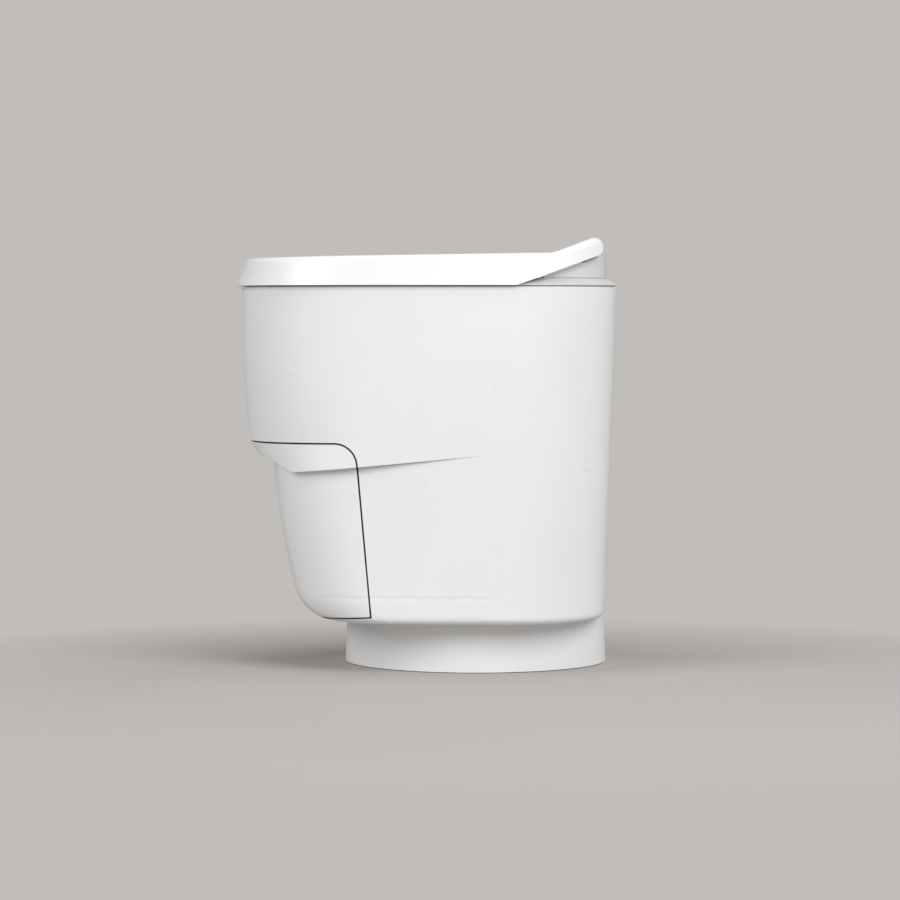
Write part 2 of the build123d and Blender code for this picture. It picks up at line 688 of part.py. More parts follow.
# Pedestal: tapered cup, deck with the ring seat and stop groove, hub, ribs and floor flange
def pedestal():
    foot = FOOT_RING_PROUD
    top_radius = PEDESTAL_FOOT_RADIUS - PEDESTAL_HEIGHT * tan(radians(PEDESTAL_DRAFT))
    under = PEDESTAL_HEIGHT - PEDESTAL_DECK
    ring_in = SLIDE_RING_RADIUS - SLIDE_RING_WIDTH / 2
    ring_out = SLIDE_RING_RADIUS + SLIDE_RING_WIDTH / 2
    seat = PEDESTAL_HEIGHT - SLIDE_RING_SEAT
    bore = HUB_RADIUS - HUB_WALL
    inner = PEDESTAL_FOOT_RADIUS - FLANGE_WIDTH
    points = [
        (inner, foot), (PEDESTAL_FOOT_RADIUS, foot), (top_radius, PEDESTAL_HEIGHT - 1.5),
        (top_radius - 1.5, PEDESTAL_HEIGHT), (ring_out, PEDESTAL_HEIGHT), (ring_out, seat),
        (ring_in, seat), (ring_in, PEDESTAL_HEIGHT), (HUB_RADIUS, PEDESTAL_HEIGHT),
        (HUB_RADIUS, HUB_TOP), (bore, HUB_TOP), (bore, under - HUB_SKIRT),
        (HUB_RADIUS, under - HUB_SKIRT), (HUB_RADIUS, under), (top_radius - PEDESTAL_WALL, under),
        (PEDESTAL_FOOT_RADIUS - PEDESTAL_WALL, foot + FLANGE_THICKNESS), (inner, foot + FLANGE_THICKNESS),
    ]
    body = revolve(Plane.XZ * make_face(Polyline(*points, close=True)), Axis.Z)
    rib = box(HUB_RADIUS - 1, PEDESTAL_FOOT_RADIUS - PEDESTAL_WALL + 0.5, -RIB_THICKNESS / 2,
              RIB_THICKNESS / 2, under - RIB_DEPTH, under + 1)
    ribs = [Rot(0, 0, 360 * (i + 0.5) / PEDESTAL_RIBS) * rib for i in range(PEDESTAL_RIBS)]
    body = body + ribs
    groove = ring(inner + FLANGE_WIDTH - 6, inner + FLANGE_WIDTH - 6 - FOOT_RING_WIDTH,
                  0, FOOT_RING_HEIGHT)
    body = body - groove - stop_groove()
    bolts = [Rot(0, 0, 360 * (i + 0.5) / FLOOR_BOLTS) * Pos(FLOOR_BOLT_CIRCLE / 2, 0, 0)
             * Cylinder(FLOOR_BOLT_HOLE, 30) for i in range(FLOOR_BOLTS)]
    return largest(body - bolts)


# Arc groove in the pedestal's deck that ends the swivel at both sides
def stop_groove():
    r = STOP_PIN_CIRCLE / 2
    play = 2 * RUN
    half = STOP_PIN_RADIUS + play
    reach = radians(SWIVEL_REACH) + play / r

    def at(radius, angle):
        return (radius * sin(angle), -radius * cos(angle))

    def cap(angle, way):
        x, y = at(r, angle)
        return (x + way * half * cos(angle), y + way * half * sin(angle))
    edges = [
        ThreePointArc(at(r + half, -reach), at(r + half, 0), at(r + half, reach)),
        ThreePointArc(at(r + half, reach), cap(reach, 1), at(r - half, reach)),
        ThreePointArc(at(r - half, reach), at(r - half, 0), at(r - half, -reach)),
        ThreePointArc(at(r - half, -reach), cap(-reach, -1), at(r + half, -reach)),
    ]
    floor = Pos(0, 0, PEDESTAL_HEIGHT - STOP_GROOVE_DEPTH)
    return extrude(floor * make_face(Curve() + edges), amount=STOP_GROOVE_DEPTH + 1, dir=(0, 0, 1))


def foot_ring():
    outer = PEDESTAL_FOOT_RADIUS - 6
    return ring(outer, outer - FOOT_RING_WIDTH, 0, FOOT_RING_HEIGHT)


def slide_ring():
    z0 = PEDESTAL_HEIGHT - SLIDE_RING_SEAT
    return ring(SLIDE_RING_RADIUS + SLIDE_RING_WIDTH / 2, SLIDE_RING_RADIUS - SLIDE_RING_WIDTH / 2,
                z0, SLIDE_RING_TOP)


def hub_retainer():
    body = ring(HUB_RADIUS + RETAINER_WIDTH, HUB_RADIUS, RETAINER_BOTTOM, HUB_TOP)
    edge = HUB_RADIUS + RETAINER_WIDTH
    notch = box(edge - 3, edge + 3, -3, 3, RETAINER_BOTTOM - 1, HUB_TOP + 1)
    notches = [Rot(0, 0, 360 * i / RETAINER_NOTCHES) * notch for i in range(RETAINER_NOTCHES)]
    return body - notches


def turntable():
    plate = ring(TURNTABLE_RADIUS, HUB_RADIUS + RUN, FLOOR_TOP, TURNTABLE_TOP)
    plate = plate - screw_holes(turntable_screw_places(), FLOOR_TOP - 1, TURNTABLE_TOP + 1)
    return plate - rod_z(STOP_PIN_RADIUS, FLOOR_TOP - 1, TURNTABLE_TOP + 1, 0, -STOP_PIN_CIRCLE / 2)


def turntable_screws():
    grip = TURNTABLE_THICKNESS + SCREW_GRIP
    return screws([(x, y, grip) for x, y in turntable_screw_places()], TURNTABLE_TOP, 1)


def stop_pin():
    bottom = PEDESTAL_HEIGHT - STOP_GROOVE_DEPTH + 0.6
    y = -STOP_PIN_CIRCLE / 2
    return rod_z(STOP_PIN_RADIUS, bottom, TURNTABLE_TOP, 0, y) + rod_z(
        STOP_PIN_RADIUS + 2, TURNTABLE_TOP, TURNTABLE_TOP + 2, 0, y)


# Drawer: sheet carriage, container and telescopic runners
def carriage_outline(inset):
    w, front, rear = CARRIAGE_HALF_WIDTH, -CARRIAGE_FRONT - CARRIAGE_SHEET, CARRIAGE_REAR
    points = [(-w, rear), (w, rear), (w, -CARRIAGE_CORNER), (CARRIAGE_NOSE, front),
              (-CARRIAGE_NOSE, front), (-w, -CARRIAGE_CORNER)]
    face = make_face(Polyline(*points, close=True))
    return offset(face, -inset, kind=Kind.INTERSECTION) if inset else face


def carriage():
    front, t, z = -CARRIAGE_FRONT, CARRIAGE_SHEET, DRAWER_BOTTOM
    body = extrude(Pos(0, 0, z) * carriage_outline(0), amount=CARRIAGE_SIDE, dir=(0, 0, 1))
    body = body - extrude(Pos(0, 0, z + t) * carriage_outline(t), amount=CARRIAGE_SIDE, dir=(0, 0, 1))
    width = 2 * CARRIAGE_NOSE - 2
    face = Pos(0, z + CARRIAGE_FRONT_HEIGHT / 2) * RectangleRounded(width, CARRIAGE_FRONT_HEIGHT, 12)
    plate = Pos(0, front, 0) * extrude(Plane.XZ * face, amount=t, dir=(0, -1, 0))
    holes = [rod_y(SCREW_RADIUS, front - t - 1, front + 1, x, h) for x, h in boss_places()]
    return largest(body + plate - holes)


def container():
    w, length = 2 * CONTAINER_HALF_WIDTH, CONTAINER_FRONT + CONTAINER_REAR
    y = (CONTAINER_REAR - CONTAINER_FRONT) / 2
    z0, z1, t, taper = CARRIAGE_FLOOR, CONTAINER_TOP, CONTAINER_WALL, 2 * CONTAINER_TAPER
    r = CONTAINER_CORNER
    outer = rounded_loft([(w - taper, length - taper, r, y, z0), (w, length, r, y, z1)])
    rim = rounded(w + 2 * CONTAINER_RIM, length + 2 * CONTAINER_RIM, r + CONTAINER_RIM, y, z1 - t, z1)
    inner = rounded_loft([(w - taper - 2 * t, length - taper - 2 * t, r - t, y, z0 + t),
                          (w - 2 * t, length - 2 * t, r - t, y, z1 + 0.01)])
    return outer + rim - inner


def channel(web0, web1, flange0, flange1, half, sheet):
    y0, y1 = -RUNNER_FRONT, -RUNNER_FRONT + RUNNER_LENGTH
    body = box(web0, web1, y0, y1, RUNNER_Z - half, RUNNER_Z + half)
    for sign in (-1, 1):
        a, b = sorted((RUNNER_Z + sign * half, RUNNER_Z + sign * (half - sheet)))
        body = body + box(flange0, flange1, y0, y1, a, b)
    return body


def runner_outer():
    x, t = RUNNER_OUTER, RUNNER_SHEET
    return group(both_sides(channel(x - t, x, x - t - 4, x, RUNNER_HEIGHT / 2, t)))


def runner_middle():
    x, t = CARRIAGE_HALF_WIDTH, RUNNER_SHEET
    half = RUNNER_HEIGHT / 2 - t - RUNNER_PLAY
    web = x + RUNNER_DEPTH / 2 - t / 2
    return group(both_sides(channel(web, web + t, x + t + RUNNER_PLAY, RUNNER_OUTER - t - RUNNER_PLAY, half, t)))


def runner_inner():
    x, t = CARRIAGE_HALF_WIDTH, RUNNER_SHEET
    half = RUNNER_HEIGHT / 2 - 2 * (t + RUNNER_PLAY)
    reach = x + RUNNER_DEPTH / 2 - t / 2 - RUNNER_PLAY
    return group(both_sides(channel(x, x + t, x, reach, half, t)))


def runner_brackets():
    made = []
    for y in (-104.0, 44.0):
        y0, y1 = y, y + BRACKET_WIDTH
        side = box(RUNNER_OUTER, RUNNER_OUTER + 2, y0, y1, FLOOR_TOP, RUNNER_Z + RUNNER_HEIGHT / 2)
        foot = box(RUNNER_OUTER - 16, RUNNER_OUTER + 2, y0, y1, FLOOR_TOP, FLOOR_TOP + 2)
        made.append(both_sides(side + foot))
    return group(*made)


def catch_magnets():
    return group(both_sides(rod_y(MAGNET_RADIUS, MAGNET_Y, MAGNET_Y + MAGNET_LENGTH,
                                  MAGNET_OFFSET, RUNNER_Z - 8)))


def catch_plates():
    plate = box(MAGNET_OFFSET - 9, MAGNET_OFFSET + 9, CARRIAGE_REAR, MAGNET_Y - RUNNER_PLAY,
                RUNNER_Z - 16, RUNNER_Z)
    return group(both_sides(plate))


# Deck and the sealing unit that stands on it
def deck():
    plate = loft([body_plan(z, BODY_WALL + DECK_EDGE) for z in (DECK_BOTTOM, DECK_TOP)], ruled=True)
    plate = plate - rounded(CHUTE_WIDTH, CHUTE_LENGTH, CHUTE_CORNER, SEAL_Y, DECK_BOTTOM - 1, DECK_TOP + 1)
    for x in (-BOARD_WIDTH / 2 + 8, BOARD_WIDTH / 2 - 8):
        plate = plate + box(x - 4, x + 4, BOARD_SETBACK, BOARD_SETBACK + 6, DECK_TOP - 1,
                            DECK_TOP + BOARD_HEIGHT * 0.7)
    return plate - screw_holes(deck_screw_places(), DECK_BOTTOM - 1, DECK_TOP + 1)


def deck_screws():
    grip = DECK_THICKNESS + SCREW_GRIP
    return screws([(x, y, grip) for x, y in deck_screw_places()], DECK_TOP, 1)


def member_top():
    return AXIS_Z + PINION_RADIUS + RACK_MODULE * TOOTH_DEDENDUM + RACK_BACK


def side_plates():
    y0, y1 = FRONT_MEMBER_Y, MOTOR_Y
    body = box(PLATE_INNER, PLATE_OUTER, y0, y1, DECK_TOP, member_top())
    body = body + box(PLATE_INNER, PLATE_OUTER + PLATE_FOOT, y0, y1, DECK_TOP, DECK_TOP + PLATE_THICKNESS)
    body = body - rod_x(SHAFT_RADIUS + 2, PLATE_INNER - 1, PLATE_OUTER + 1, SHAFT_Y, AXIS_Z)
    return group(both_sides(body))


def cross_members():
    x = PLATE_INNER
    low = AXIS_Z - PINION_RADIUS + RACK_MODULE * TOOTH_ADDENDUM + MEMBER_CLEARANCE
    high = AXIS_Z + PINION_RADIUS - RACK_MODULE * TOOTH_ADDENDUM - MEMBER_CLEARANCE
    front = box(-x, x, FRONT_MEMBER_Y, FRONT_MEMBER_Y + MEMBER_THICKNESS, DECK_TOP, member_top())
    rear = box(-x, x, REAR_MEMBER_Y, REAR_MEMBER_Y + MEMBER_THICKNESS, low, high)
    for side in (-1, 1):
        hole = rod_y(ROD_RADIUS, FRONT_MEMBER_Y - 5, REAR_MEMBER_Y + 10, side * ROD_OFFSET, AXIS_Z)
        front = front - hole
        rear = rear - hole
    return group(front, rear)


def guide_rods():
    return group(both_sides(rod_y(ROD_RADIUS, FRONT_MEMBER_Y, REAR_MEMBER_Y + MEMBER_THICKNESS,
                                  ROD_OFFSET, AXIS_Z)))


# One rack, seen from the side; sign -1 has teeth that point down, +1 teeth that point up
def rack_points(arm_start, y0, y1, first_tooth, pitch_z, sign):
    pitch = pi * RACK_MODULE
    slope = tan(radians(PRESSURE_ANGLE))
    thick = pitch / 4 - BACKLASH / 4
    tip, root = RACK_MODULE * TOOTH_ADDENDUM, -RACK_MODULE * TOOTH_DEDENDUM
    wide, narrow = thick - root * slope, thick - tip * slope
    back = pitch_z - sign * (RACK_MODULE * TOOTH_DEDENDUM + RACK_BACK)
    points = [(arm_start, back), (arm_start, pitch_z + sign * root)]
    count = int((y1 - y0) / pitch) + 2
    start = int((y0 - first_tooth) / pitch) - 1
    for k in range(start, start + count + 2):
        y = first_tooth + k * pitch
        if y - wide < y0 or y + wide > y1:
            continue
        points.append((y - wide, pitch_z + sign * root))
        points.append((y - narrow, pitch_z + sign * tip))
        points.append((y + narrow, pitch_z + sign * tip))
        points.append((y + wide, pitch_z + sign * root))
    points.append((y1, pitch_z + sign * root))
    points.append((y1, back))
    return points


def jaw_body(back, face):
    # back and face are the Y limits of the jaw, the face towards the film
    low, high = min(back, face), max(back, face)
    into = 1 if face > back else -1
    roller_y = face - into * (ROLLER_RADIUS - JAW_PROUD)
    body = box(-JAW_HALF_WIDTH, JAW_HALF_WIDTH, low, high, JAW_BOTTOM, JAW_TOP)
    pocket = ROLLER_HALF_LENGTH + 1
    body = body - rod_x(ROLLER_RADIUS + ROLLER_POCKET, -pocket, pocket, roller_y, ROLLER_Z)
    axle = ROLLER_HALF_LENGTH + ROLLER_AXLE_REACH + 1
    body = body - rod_x(ROLLER_AXLE + RUN, -axle, axle, roller_y, ROLLER_Z)
    groove = sorted((face - into * STRIP_DEPTH, face + into))
    body = body - box(-STRIP_HALF_LENGTH, STRIP_HALF_LENGTH, groove[0], groove[1],
                      STRIP_Z - STRIP_HEIGHT / 2, STRIP_Z + STRIP_HEIGHT / 2)
    hollow = sorted((back - into, back + into * 4))
    for x in (-ROLLER_HALF_LENGTH + 4, -30.0, 44.0):
        body = body - box(x, x + 60, hollow[0], hollow[1], JAW_BOTTOM + 6, JAW_TOP - 6)
    for side in (-1, 1):
        body = body - rod_y(ROD_RADIUS + RUN, low - 1, high + 1, side * ROD_OFFSET, AXIS_Z)
    return body


def front_jaw():
    body = jaw_body(FRONT_BACK, FRONT_FACE)
    pitch_z = AXIS_Z + PINION_RADIUS
    tooth = SHAFT_Y + pi * RACK_MODULE / 2
    points = rack_points(FRONT_BACK, SHAFT_Y - JAW_TRAVEL - RACK_SPARE, SHAFT_Y + RACK_SPARE,
                         tooth, pitch_z, -1)
    arm = side_prism(points, RACK_INNER, RACK_OUTER)
    end = box(JAW_HALF_WIDTH - 1, RACK_OUTER, FRONT_BACK, FRONT_FACE, JAW_BOTTOM, pitch_z + RACK_BACK)
    return body + both_sides(arm + end)


def rear_jaw():
    body = jaw_body(REAR_BACK, REAR_FACE)
    pitch_z = AXIS_Z - PINION_RADIUS
    points = rack_points(REAR_FACE, SHAFT_Y - RACK_SPARE, SHAFT_Y + JAW_TRAVEL + RACK_SPARE,
                         SHAFT_Y, pitch_z, 1)
    arm = side_prism(points, RACK_INNER, RACK_OUTER)
    end = box(JAW_HALF_WIDTH - 1, RACK_OUTER, REAR_FACE, REAR_BACK, pitch_z - RACK_BACK, JAW_TOP - 5)
    return body + both_sides(arm + end)


def sealing_strip(face, into):
    y0, y1 = sorted((face - into * STRIP_DEPTH, face + into * JAW_PROUD))
    return box(-STRIP_HALF_LENGTH, STRIP_HALF_LENGTH, y0, y1,
               STRIP_Z - STRIP_HEIGHT / 2, STRIP_Z + STRIP_HEIGHT / 2)


def draw_roller(y):
    end = ROLLER_HALF_LENGTH + ROLLER_AXLE_REACH
    return rod_x(ROLLER_RADIUS, -ROLLER_HALF_LENGTH, ROLLER_HALF_LENGTH, y, ROLLER_Z) + rod_x(
        ROLLER_AXLE, -end, end, y, ROLLER_Z)


# Spur gear outline with involute flanks; tooth is the angle of one tooth's middle
def gear_face(module, teeth, tooth, bore):
    pitch_r = module * teeth / 2
    base_r = pitch_r * cos(radians(PRESSURE_ANGLE))
    tip_r = pitch_r + module * TOOTH_ADDENDUM
    root_r = pitch_r - module * TOOTH_DEDENDUM

    def involute(r):
        a = acos(min(1.0, base_r / max(r, base_r)))
        return tan(a) - a
    at_pitch = pi / (2 * teeth) - BACKLASH / (4 * pitch_r)

    def half(r):
        return at_pitch + involute(pitch_r) - involute(r)
    start = max(root_r, base_r)
    radii = [root_r, start + 0.01, (start + pitch_r) / 2, pitch_r, tip_r]
    points = []
    for i in range(teeth):
        middle = radians(tooth) + 2 * pi * i / teeth
        for side, row in ((-1, radii), (1, reversed(radii))):
            for r in row:
                a = middle + side * half(r)
                points.append((r * cos(a), r * sin(a)))
    return make_face(Polyline(*points, close=True)) - Circle(bore)


def gear_x(module, teeth, tooth, bore, x0, x1, y):
    face = Plane.YZ * gear_face(module, teeth, tooth, bore)
    return Pos(x0, y, AXIS_Z) * extrude(face, amount=x1 - x0, dir=(1, 0, 0))


def jaw_shaft():
    reach = PLATE_OUTER + 3
    return rod_x(SHAFT_RADIUS, -reach, reach, SHAFT_Y, AXIS_Z)


def jaw_pinions():
    x0 = RACK_INNER + (RACK_WIDTH - PINION_WIDTH) / 2
    x1 = x0 + PINION_WIDTH
    right = gear_x(RACK_MODULE, PINION_TEETH, 90, SHAFT_RADIUS, x0, x1, SHAFT_Y)
    left = gear_x(RACK_MODULE, PINION_TEETH, 90, SHAFT_RADIUS, -x1, -x0, SHAFT_Y)
    return group(right, left)


def drive_wheel():
    x0, x1 = WHEEL_POSITION, WHEEL_POSITION + WHEEL_WIDTH
    wheel = gear_x(DRIVE_MODULE, WHEEL_TEETH, 0, SHAFT_RADIUS, x0, x1, SHAFT_Y)
    hub = rod_x(SHAFT_RADIUS + 5, x1, x1 + 6, SHAFT_Y, AXIS_Z)
    return wheel + (hub - rod_x(SHAFT_RADIUS, x1 - 1, x1 + 7, SHAFT_Y, AXIS_Z))


def shaft_bushes():
    bush = rod_x(SHAFT_RADIUS + 2, PLATE_INNER, PLATE_OUTER, SHAFT_Y, AXIS_Z)
    bush = bush + rod_x(SHAFT_RADIUS + 4, PLATE_INNER - 1.5, PLATE_INNER, SHAFT_Y, AXIS_Z)
    bush = bush - rod_x(SHAFT_RADIUS + RUN, PLATE_INNER - 3, PLATE_OUTER + 1, SHAFT_Y, AXIS_Z)
    return group(both_sides(bush))


def motor_bracket():
    x0, x1 = MOTOR_FACE, MOTOR_FACE + BRACKET_THICKNESS
    y0, y1 = MOTOR_Y - MOTOR_RADIUS - 2, MOTOR_Y + MOTOR_RADIUS + 4
    body = box(x0, x1, y0, y1, DECK_TOP, AXIS_Z + MOTOR_RADIUS + 2)
    body = body + box(x0 - 30, x1, y0, y1, DECK_TOP, DECK_TOP + BRACKET_THICKNESS)
    return body - rod_x(MOTOR_SHAFT + 3, x0 - 1, x1 + 1, MOTOR_Y, AXIS_Z)


def jaw_motor():
    x1 = MOTOR_FACE
    body = rod_x(MOTOR_RADIUS, x1 - MOTOR_LENGTH, x1, MOTOR_Y, AXIS_Z)
    body = body + rod_x(MOTOR_SHAFT + 3, x1, x1 + BRACKET_THICKNESS, MOTOR_Y, AXIS_Z)
    return body - rod_x(MOTOR_SHAFT + RUN, x1 - 12, x1 + 4, MOTOR_Y, AXIS_Z)


def motor_pinion():
    x0, x1 = WHEEL_POSITION, WHEEL_POSITION + WHEEL_WIDTH
    gear = gear_x(DRIVE_MODULE, MOTOR_TEETH, 180.0 / MOTOR_TEETH, MOTOR_SHAFT, x0, x1, MOTOR_Y)
    return gear + rod_x(MOTOR_SHAFT, MOTOR_FACE - 11, x1 + 1, MOTOR_Y, AXIS_Z)


# Bowl: funnel under the top frame, cassette with its film and the hanging liner
def cassette_size(grow):
    side = 2 * CASSETTE_WIDTH + 2 * grow
    return (BOWL_WIDTH + side, BOWL_LENGTH + side, BOWL_CORNER + CASSETTE_WIDTH + grow)


def bowl_size(grow):
    return (BOWL_WIDTH + 2 * grow, BOWL_LENGTH + 2 * grow, BOWL_CORNER + grow)


def outlet_size(grow):
    return (OUTLET_WIDTH + 2 * grow, OUTLET_LENGTH + 2 * grow, OUTLET_CORNER + grow)


def funnel():
    z1, z2 = CASSETTE_BOTTOM - FUNNEL_LEDGE, CASSETTE_BOTTOM
    play, wall = CASSETTE_PLAY, FUNNEL_WALL
    cone = rounded_loft([(*outlet_size(wall), SEAL_Y, OUTLET_Z), (*bowl_size(wall), BOWL_Y, z1)])
    cone = cone + rounded(*cassette_size(play + wall), BOWL_Y, z1, FRAME_BOTTOM)
    cone = cone + rounded(*cassette_size(play + wall + FUNNEL_FLANGE), BOWL_Y,
                          FRAME_BOTTOM - wall, FRAME_BOTTOM)
    hole = rounded_loft([(*outlet_size(0), SEAL_Y, OUTLET_Z), (*bowl_size(0), BOWL_Y, z1)])
    cone = cone - hole - rounded(*outlet_size(0), SEAL_Y, OUTLET_Z - 1, OUTLET_Z + 0.1)
    cone = cone - rounded(*bowl_size(0), BOWL_Y, z1 - 0.1, z2 + 1)
    cone = cone - rounded(*cassette_size(play), BOWL_Y, z2, FRAME_BOTTOM + 1)
    return cone - screw_holes(funnel_screw_places(), FRAME_BOTTOM - 10, FRAME_BOTTOM + 1)


def funnel_screw_places():
    width, length, _ = cassette_size(CASSETTE_PLAY + FUNNEL_WALL + FUNNEL_FLANGE / 2)
    sides = [(x, BOWL_Y + y) for x in (-width / 2, width / 2) for y in (-20, 20)]
    return sides + [(0, BOWL_Y - length / 2), (0, BOWL_Y + length / 2)]


def funnel_screws():
    grip = FUNNEL_WALL + SCREW_GRIP
    return screws([(x, y, grip) for x, y in funnel_screw_places()], FRAME_BOTTOM - FUNNEL_WALL, -1)


def cassette():
    z0, z1, t = CASSETTE_BOTTOM, CASSETTE_TOP, CASSETTE_WALL
    body = rounded(*cassette_size(0), BOWL_Y, z0, z1) - rounded(*bowl_size(0), BOWL_Y, z0 - 1, z1 + 1)
    room = rounded(*cassette_size(-t), BOWL_Y, z0 + t, z1 + 1)
    room = room - rounded(*bowl_size(t), BOWL_Y, z0, z1 + 2)
    slot = rounded(*bowl_size(t + 1), BOWL_Y, z1 - CASSETTE_SLOT, z1 + 1)
    return body - room - slot


def film_pack():
    z = CASSETTE_BOTTOM + CASSETTE_WALL
    layers = []
    for i in range(FILM_PLEATS):
        fold = 0.6 if i % 2 else 2.4
        z0 = z + i * PLEAT_HEIGHT
        layer = rounded(*cassette_size(-CASSETTE_WALL - fold), BOWL_Y, z0, z0 + PLEAT_HEIGHT)
        layer = layer - rounded(*bowl_size(CASSETTE_WALL + fold), BOWL_Y, z0 - 1, z0 + PLEAT_HEIGHT + 1)
        layers.append(layer)
    body = layers[0]
    for layer in layers[1:]:
        body = body + layer
    return body


def clamp_ring():
    z0, z1 = CASSETTE_TOP, CASSETTE_TOP + CLAMP_THICKNESS
    body = rounded(*cassette_size(-CASSETTE_PLAY / 2), BOWL_Y, z0, z1)
    body = body - rounded(*bowl_size(0), BOWL_Y, z0 - 1, z1 + 1)
    edges = body.edges().filter_by_position(Axis.Z, z1 - 0.01, z1 + 0.01)
    return chamfer(edges, CLAMP_THICKNESS / 4)


# Hanging film bag: flange over the cassette's inner wall, walls down the funnel, closed seam
def bag(inset, seam_z, seam):
    top = CASSETTE_TOP - CASSETTE_SLOT
    z1 = CASSETTE_BOTTOM - FUNNEL_LEDGE
    g = -FILM_PLAY - inset
    body = rounded(*bowl_size(g), BOWL_Y, z1, top)
    body = body + rounded_loft([(*outlet_size(g), SEAL_Y, OUTLET_Z), (*bowl_size(g), BOWL_Y, z1)])
    return body + rounded_loft([(SEAM_WIDTH - 2 * inset, seam, seam * 0.45, SEAL_Y, seam_z),
                                (*outlet_size(g), SEAL_Y, OUTLET_Z)])


def film_liner():
    seam_z = JAW_TOP + SEAM_GAP
    top = CASSETTE_TOP - CASSETTE_SLOT
    flange = rounded(*bowl_size(CASSETTE_WALL + 1), BOWL_Y, top, top + FILM)
    inner = bag(FILM, seam_z + 2 * FILM, FILM)
    inner = inner + rounded(*bowl_size(-FILM_PLAY - FILM), BOWL_Y, top - 1, top + 2)
    return (bag(0, seam_z, 3 * FILM) + flange) - inner


# Top frame: a tray whose chamfered rim holds the seat, raised behind for the console
def top_plan(z, inset):
    return plan(z, BODY_HALF_WIDTH, BODY_REAR, BODY_FRONT, inset)


def plan_prism(inset, z0, z1):
    return extrude(top_plan(z0, inset), amount=z1 - z0, dir=(0, 0, 1))


def top_frame():
    band = FRAME_BOTTOM + FRAME_BAND
    body = plan_prism(FRAME_EDGE, FRAME_BOTTOM, band)
    body = body + loft([top_plan(band, FRAME_EDGE), top_plan(FRAME_TOP, FRAME_CHAMFER + FRAME_EDGE)],
                       ruled=True)
    rim = FRAME_CHAMFER + FRAME_EDGE + FRAME_RIM
    body = body - (plan_prism(rim, FRAME_SEAT, FRAME_TOP + 1) & box(-300, 300, -400, FRAME_STEP, 300, 500))
    under = plan_prism(FRAME_CHAMFER + 5, FRAME_BOTTOM - 1, FRAME_TOP - FRAME_FLOOR)
    body = body - (under & box(-300, 300, FRAME_STEP + 16, 300, 300, 500))
    outer = BODY_WALL + 2 * SLIP
    lip = plan_prism(outer, FRAME_BOTTOM - FRAME_SPIGOT, FRAME_BOTTOM + 0.5)
    lip = lip - plan_prism(outer + FRAME_SPIGOT_WALL, FRAME_BOTTOM - FRAME_SPIGOT - 1, FRAME_BOTTOM + 1)
    body = body + lip
    opening = cassette_size(FRAME_OPENING_PLAY)
    body = body - rounded(*opening, BOWL_Y, FRAME_BOTTOM - 20, FRAME_TOP + 1)
    return body - screw_holes(funnel_screw_places(), FRAME_BOTTOM - 1, FRAME_BOTTOM + SCREW_GRIP)


# A point at a distance below the hinge axis, measured square to the wedge's slope
def wedge_z(y, below):
    a = radians(WEDGE_ANGLE)
    return HINGE_Z - below / cos(a) + (y - HINGE_Y) * tan(a)


def console():
    inset = FRAME_CHAMFER + FRAME_EDGE + CONSOLE_INSET
    below = HINGE_ROLL + CONSOLE_GAP
    high = HINGE_Z + 20

    def wedge(drop, floor):
        y0, y1 = FRAME_STEP, BODY_REAR + 10
        points = [(y0, floor), (y1, floor), (y1, wedge_z(y1, drop)), (y0, max(floor + 0.01, wedge_z(y0, drop)))]
        return side_prism(points, -BODY_HALF_WIDTH, BODY_HALF_WIDTH)
    body = plan_prism(inset, FRAME_TOP, high) & wedge(below, FRAME_TOP)
    groove = plan_prism(inset - 1, FRAME_TOP - 1, FRAME_TOP + CONSOLE_GROOVE)
    groove = groove - plan_prism(inset + CONSOLE_GROOVE_DEPTH, FRAME_TOP - 2, FRAME_TOP + 2)
    start = FRAME_STEP + CONSOLE_GROOVE_START
    body = body - (groove & box(-BODY_HALF_WIDTH, BODY_HALF_WIDTH, start, BODY_REAR, FRAME_TOP - 1, high))
    hollow = plan_prism(inset + CONSOLE_WALL, FRAME_TOP - 1, high)
    room = FRAME_STEP + 26
    cut = side_prism([(room, FRAME_TOP - 1), (BODY_REAR, FRAME_TOP - 1),
                      (BODY_REAR, wedge_z(BODY_REAR, below + CONSOLE_WALL)),
                      (room, wedge_z(room, below + CONSOLE_WALL))], -BODY_HALF_WIDTH, BODY_HALF_WIDTH)
    body = body - (hollow & cut)
    foot = wedge_z(HINGE_Y, below + CONSOLE_WALL) + 1
    ears = []
    for x in (EAR_INNER, EAR_OUTER):
        ear = rod_x(KNUCKLE_RADIUS, x, x + EAR_THICKNESS, HINGE_Y, HINGE_Z)
        ear = ear + box(x, x + EAR_THICKNESS, HINGE_Y - EAR_STEM, HINGE_Y + EAR_STEM, foot, HINGE_Z)
        ears.append(ear)
    body = body + both_sides(ears[0]) + both_sides(ears[1])
    bore = rod_x(PIN_RADIUS, EAR_INNER - 1, EAR_OUTER + EAR_THICKNESS + 1, HINGE_Y, HINGE_Z)
    return body - both_sides(bore)


def hinge_pins():
    return group(both_sides(rod_x(PIN_RADIUS, EAR_INNER, EAR_OUTER + EAR_THICKNESS, HINGE_Y, HINGE_Z)))


# Seat: tapered ring with ribs inside and two arms up to the hinge
def seat_outer(z0, z1, grow):
    inset = FRAME_CHAMFER + FRAME_EDGE + FRAME_RIM + SEAT_GAP + grow
    faces = [top_plan(SEAT_BOTTOM, inset), top_plan(SEAT_TOP, inset + SEAT_TAPER)]
    ring_body = loft(faces, ruled=True) & box(-300, 300, -400, SEAT_REAR - grow, z0, z1)
    edges = [e for e in ring_body.edges() if abs((e @ 0).Y - SEAT_REAR + grow) < 0.01
             and abs((e @ 1).Y - SEAT_REAR + grow) < 0.01 and abs((e @ 0).Z - (e @ 1).Z) > 5]
    return fillet(edges, SEAT_REAR_CORNER - grow)


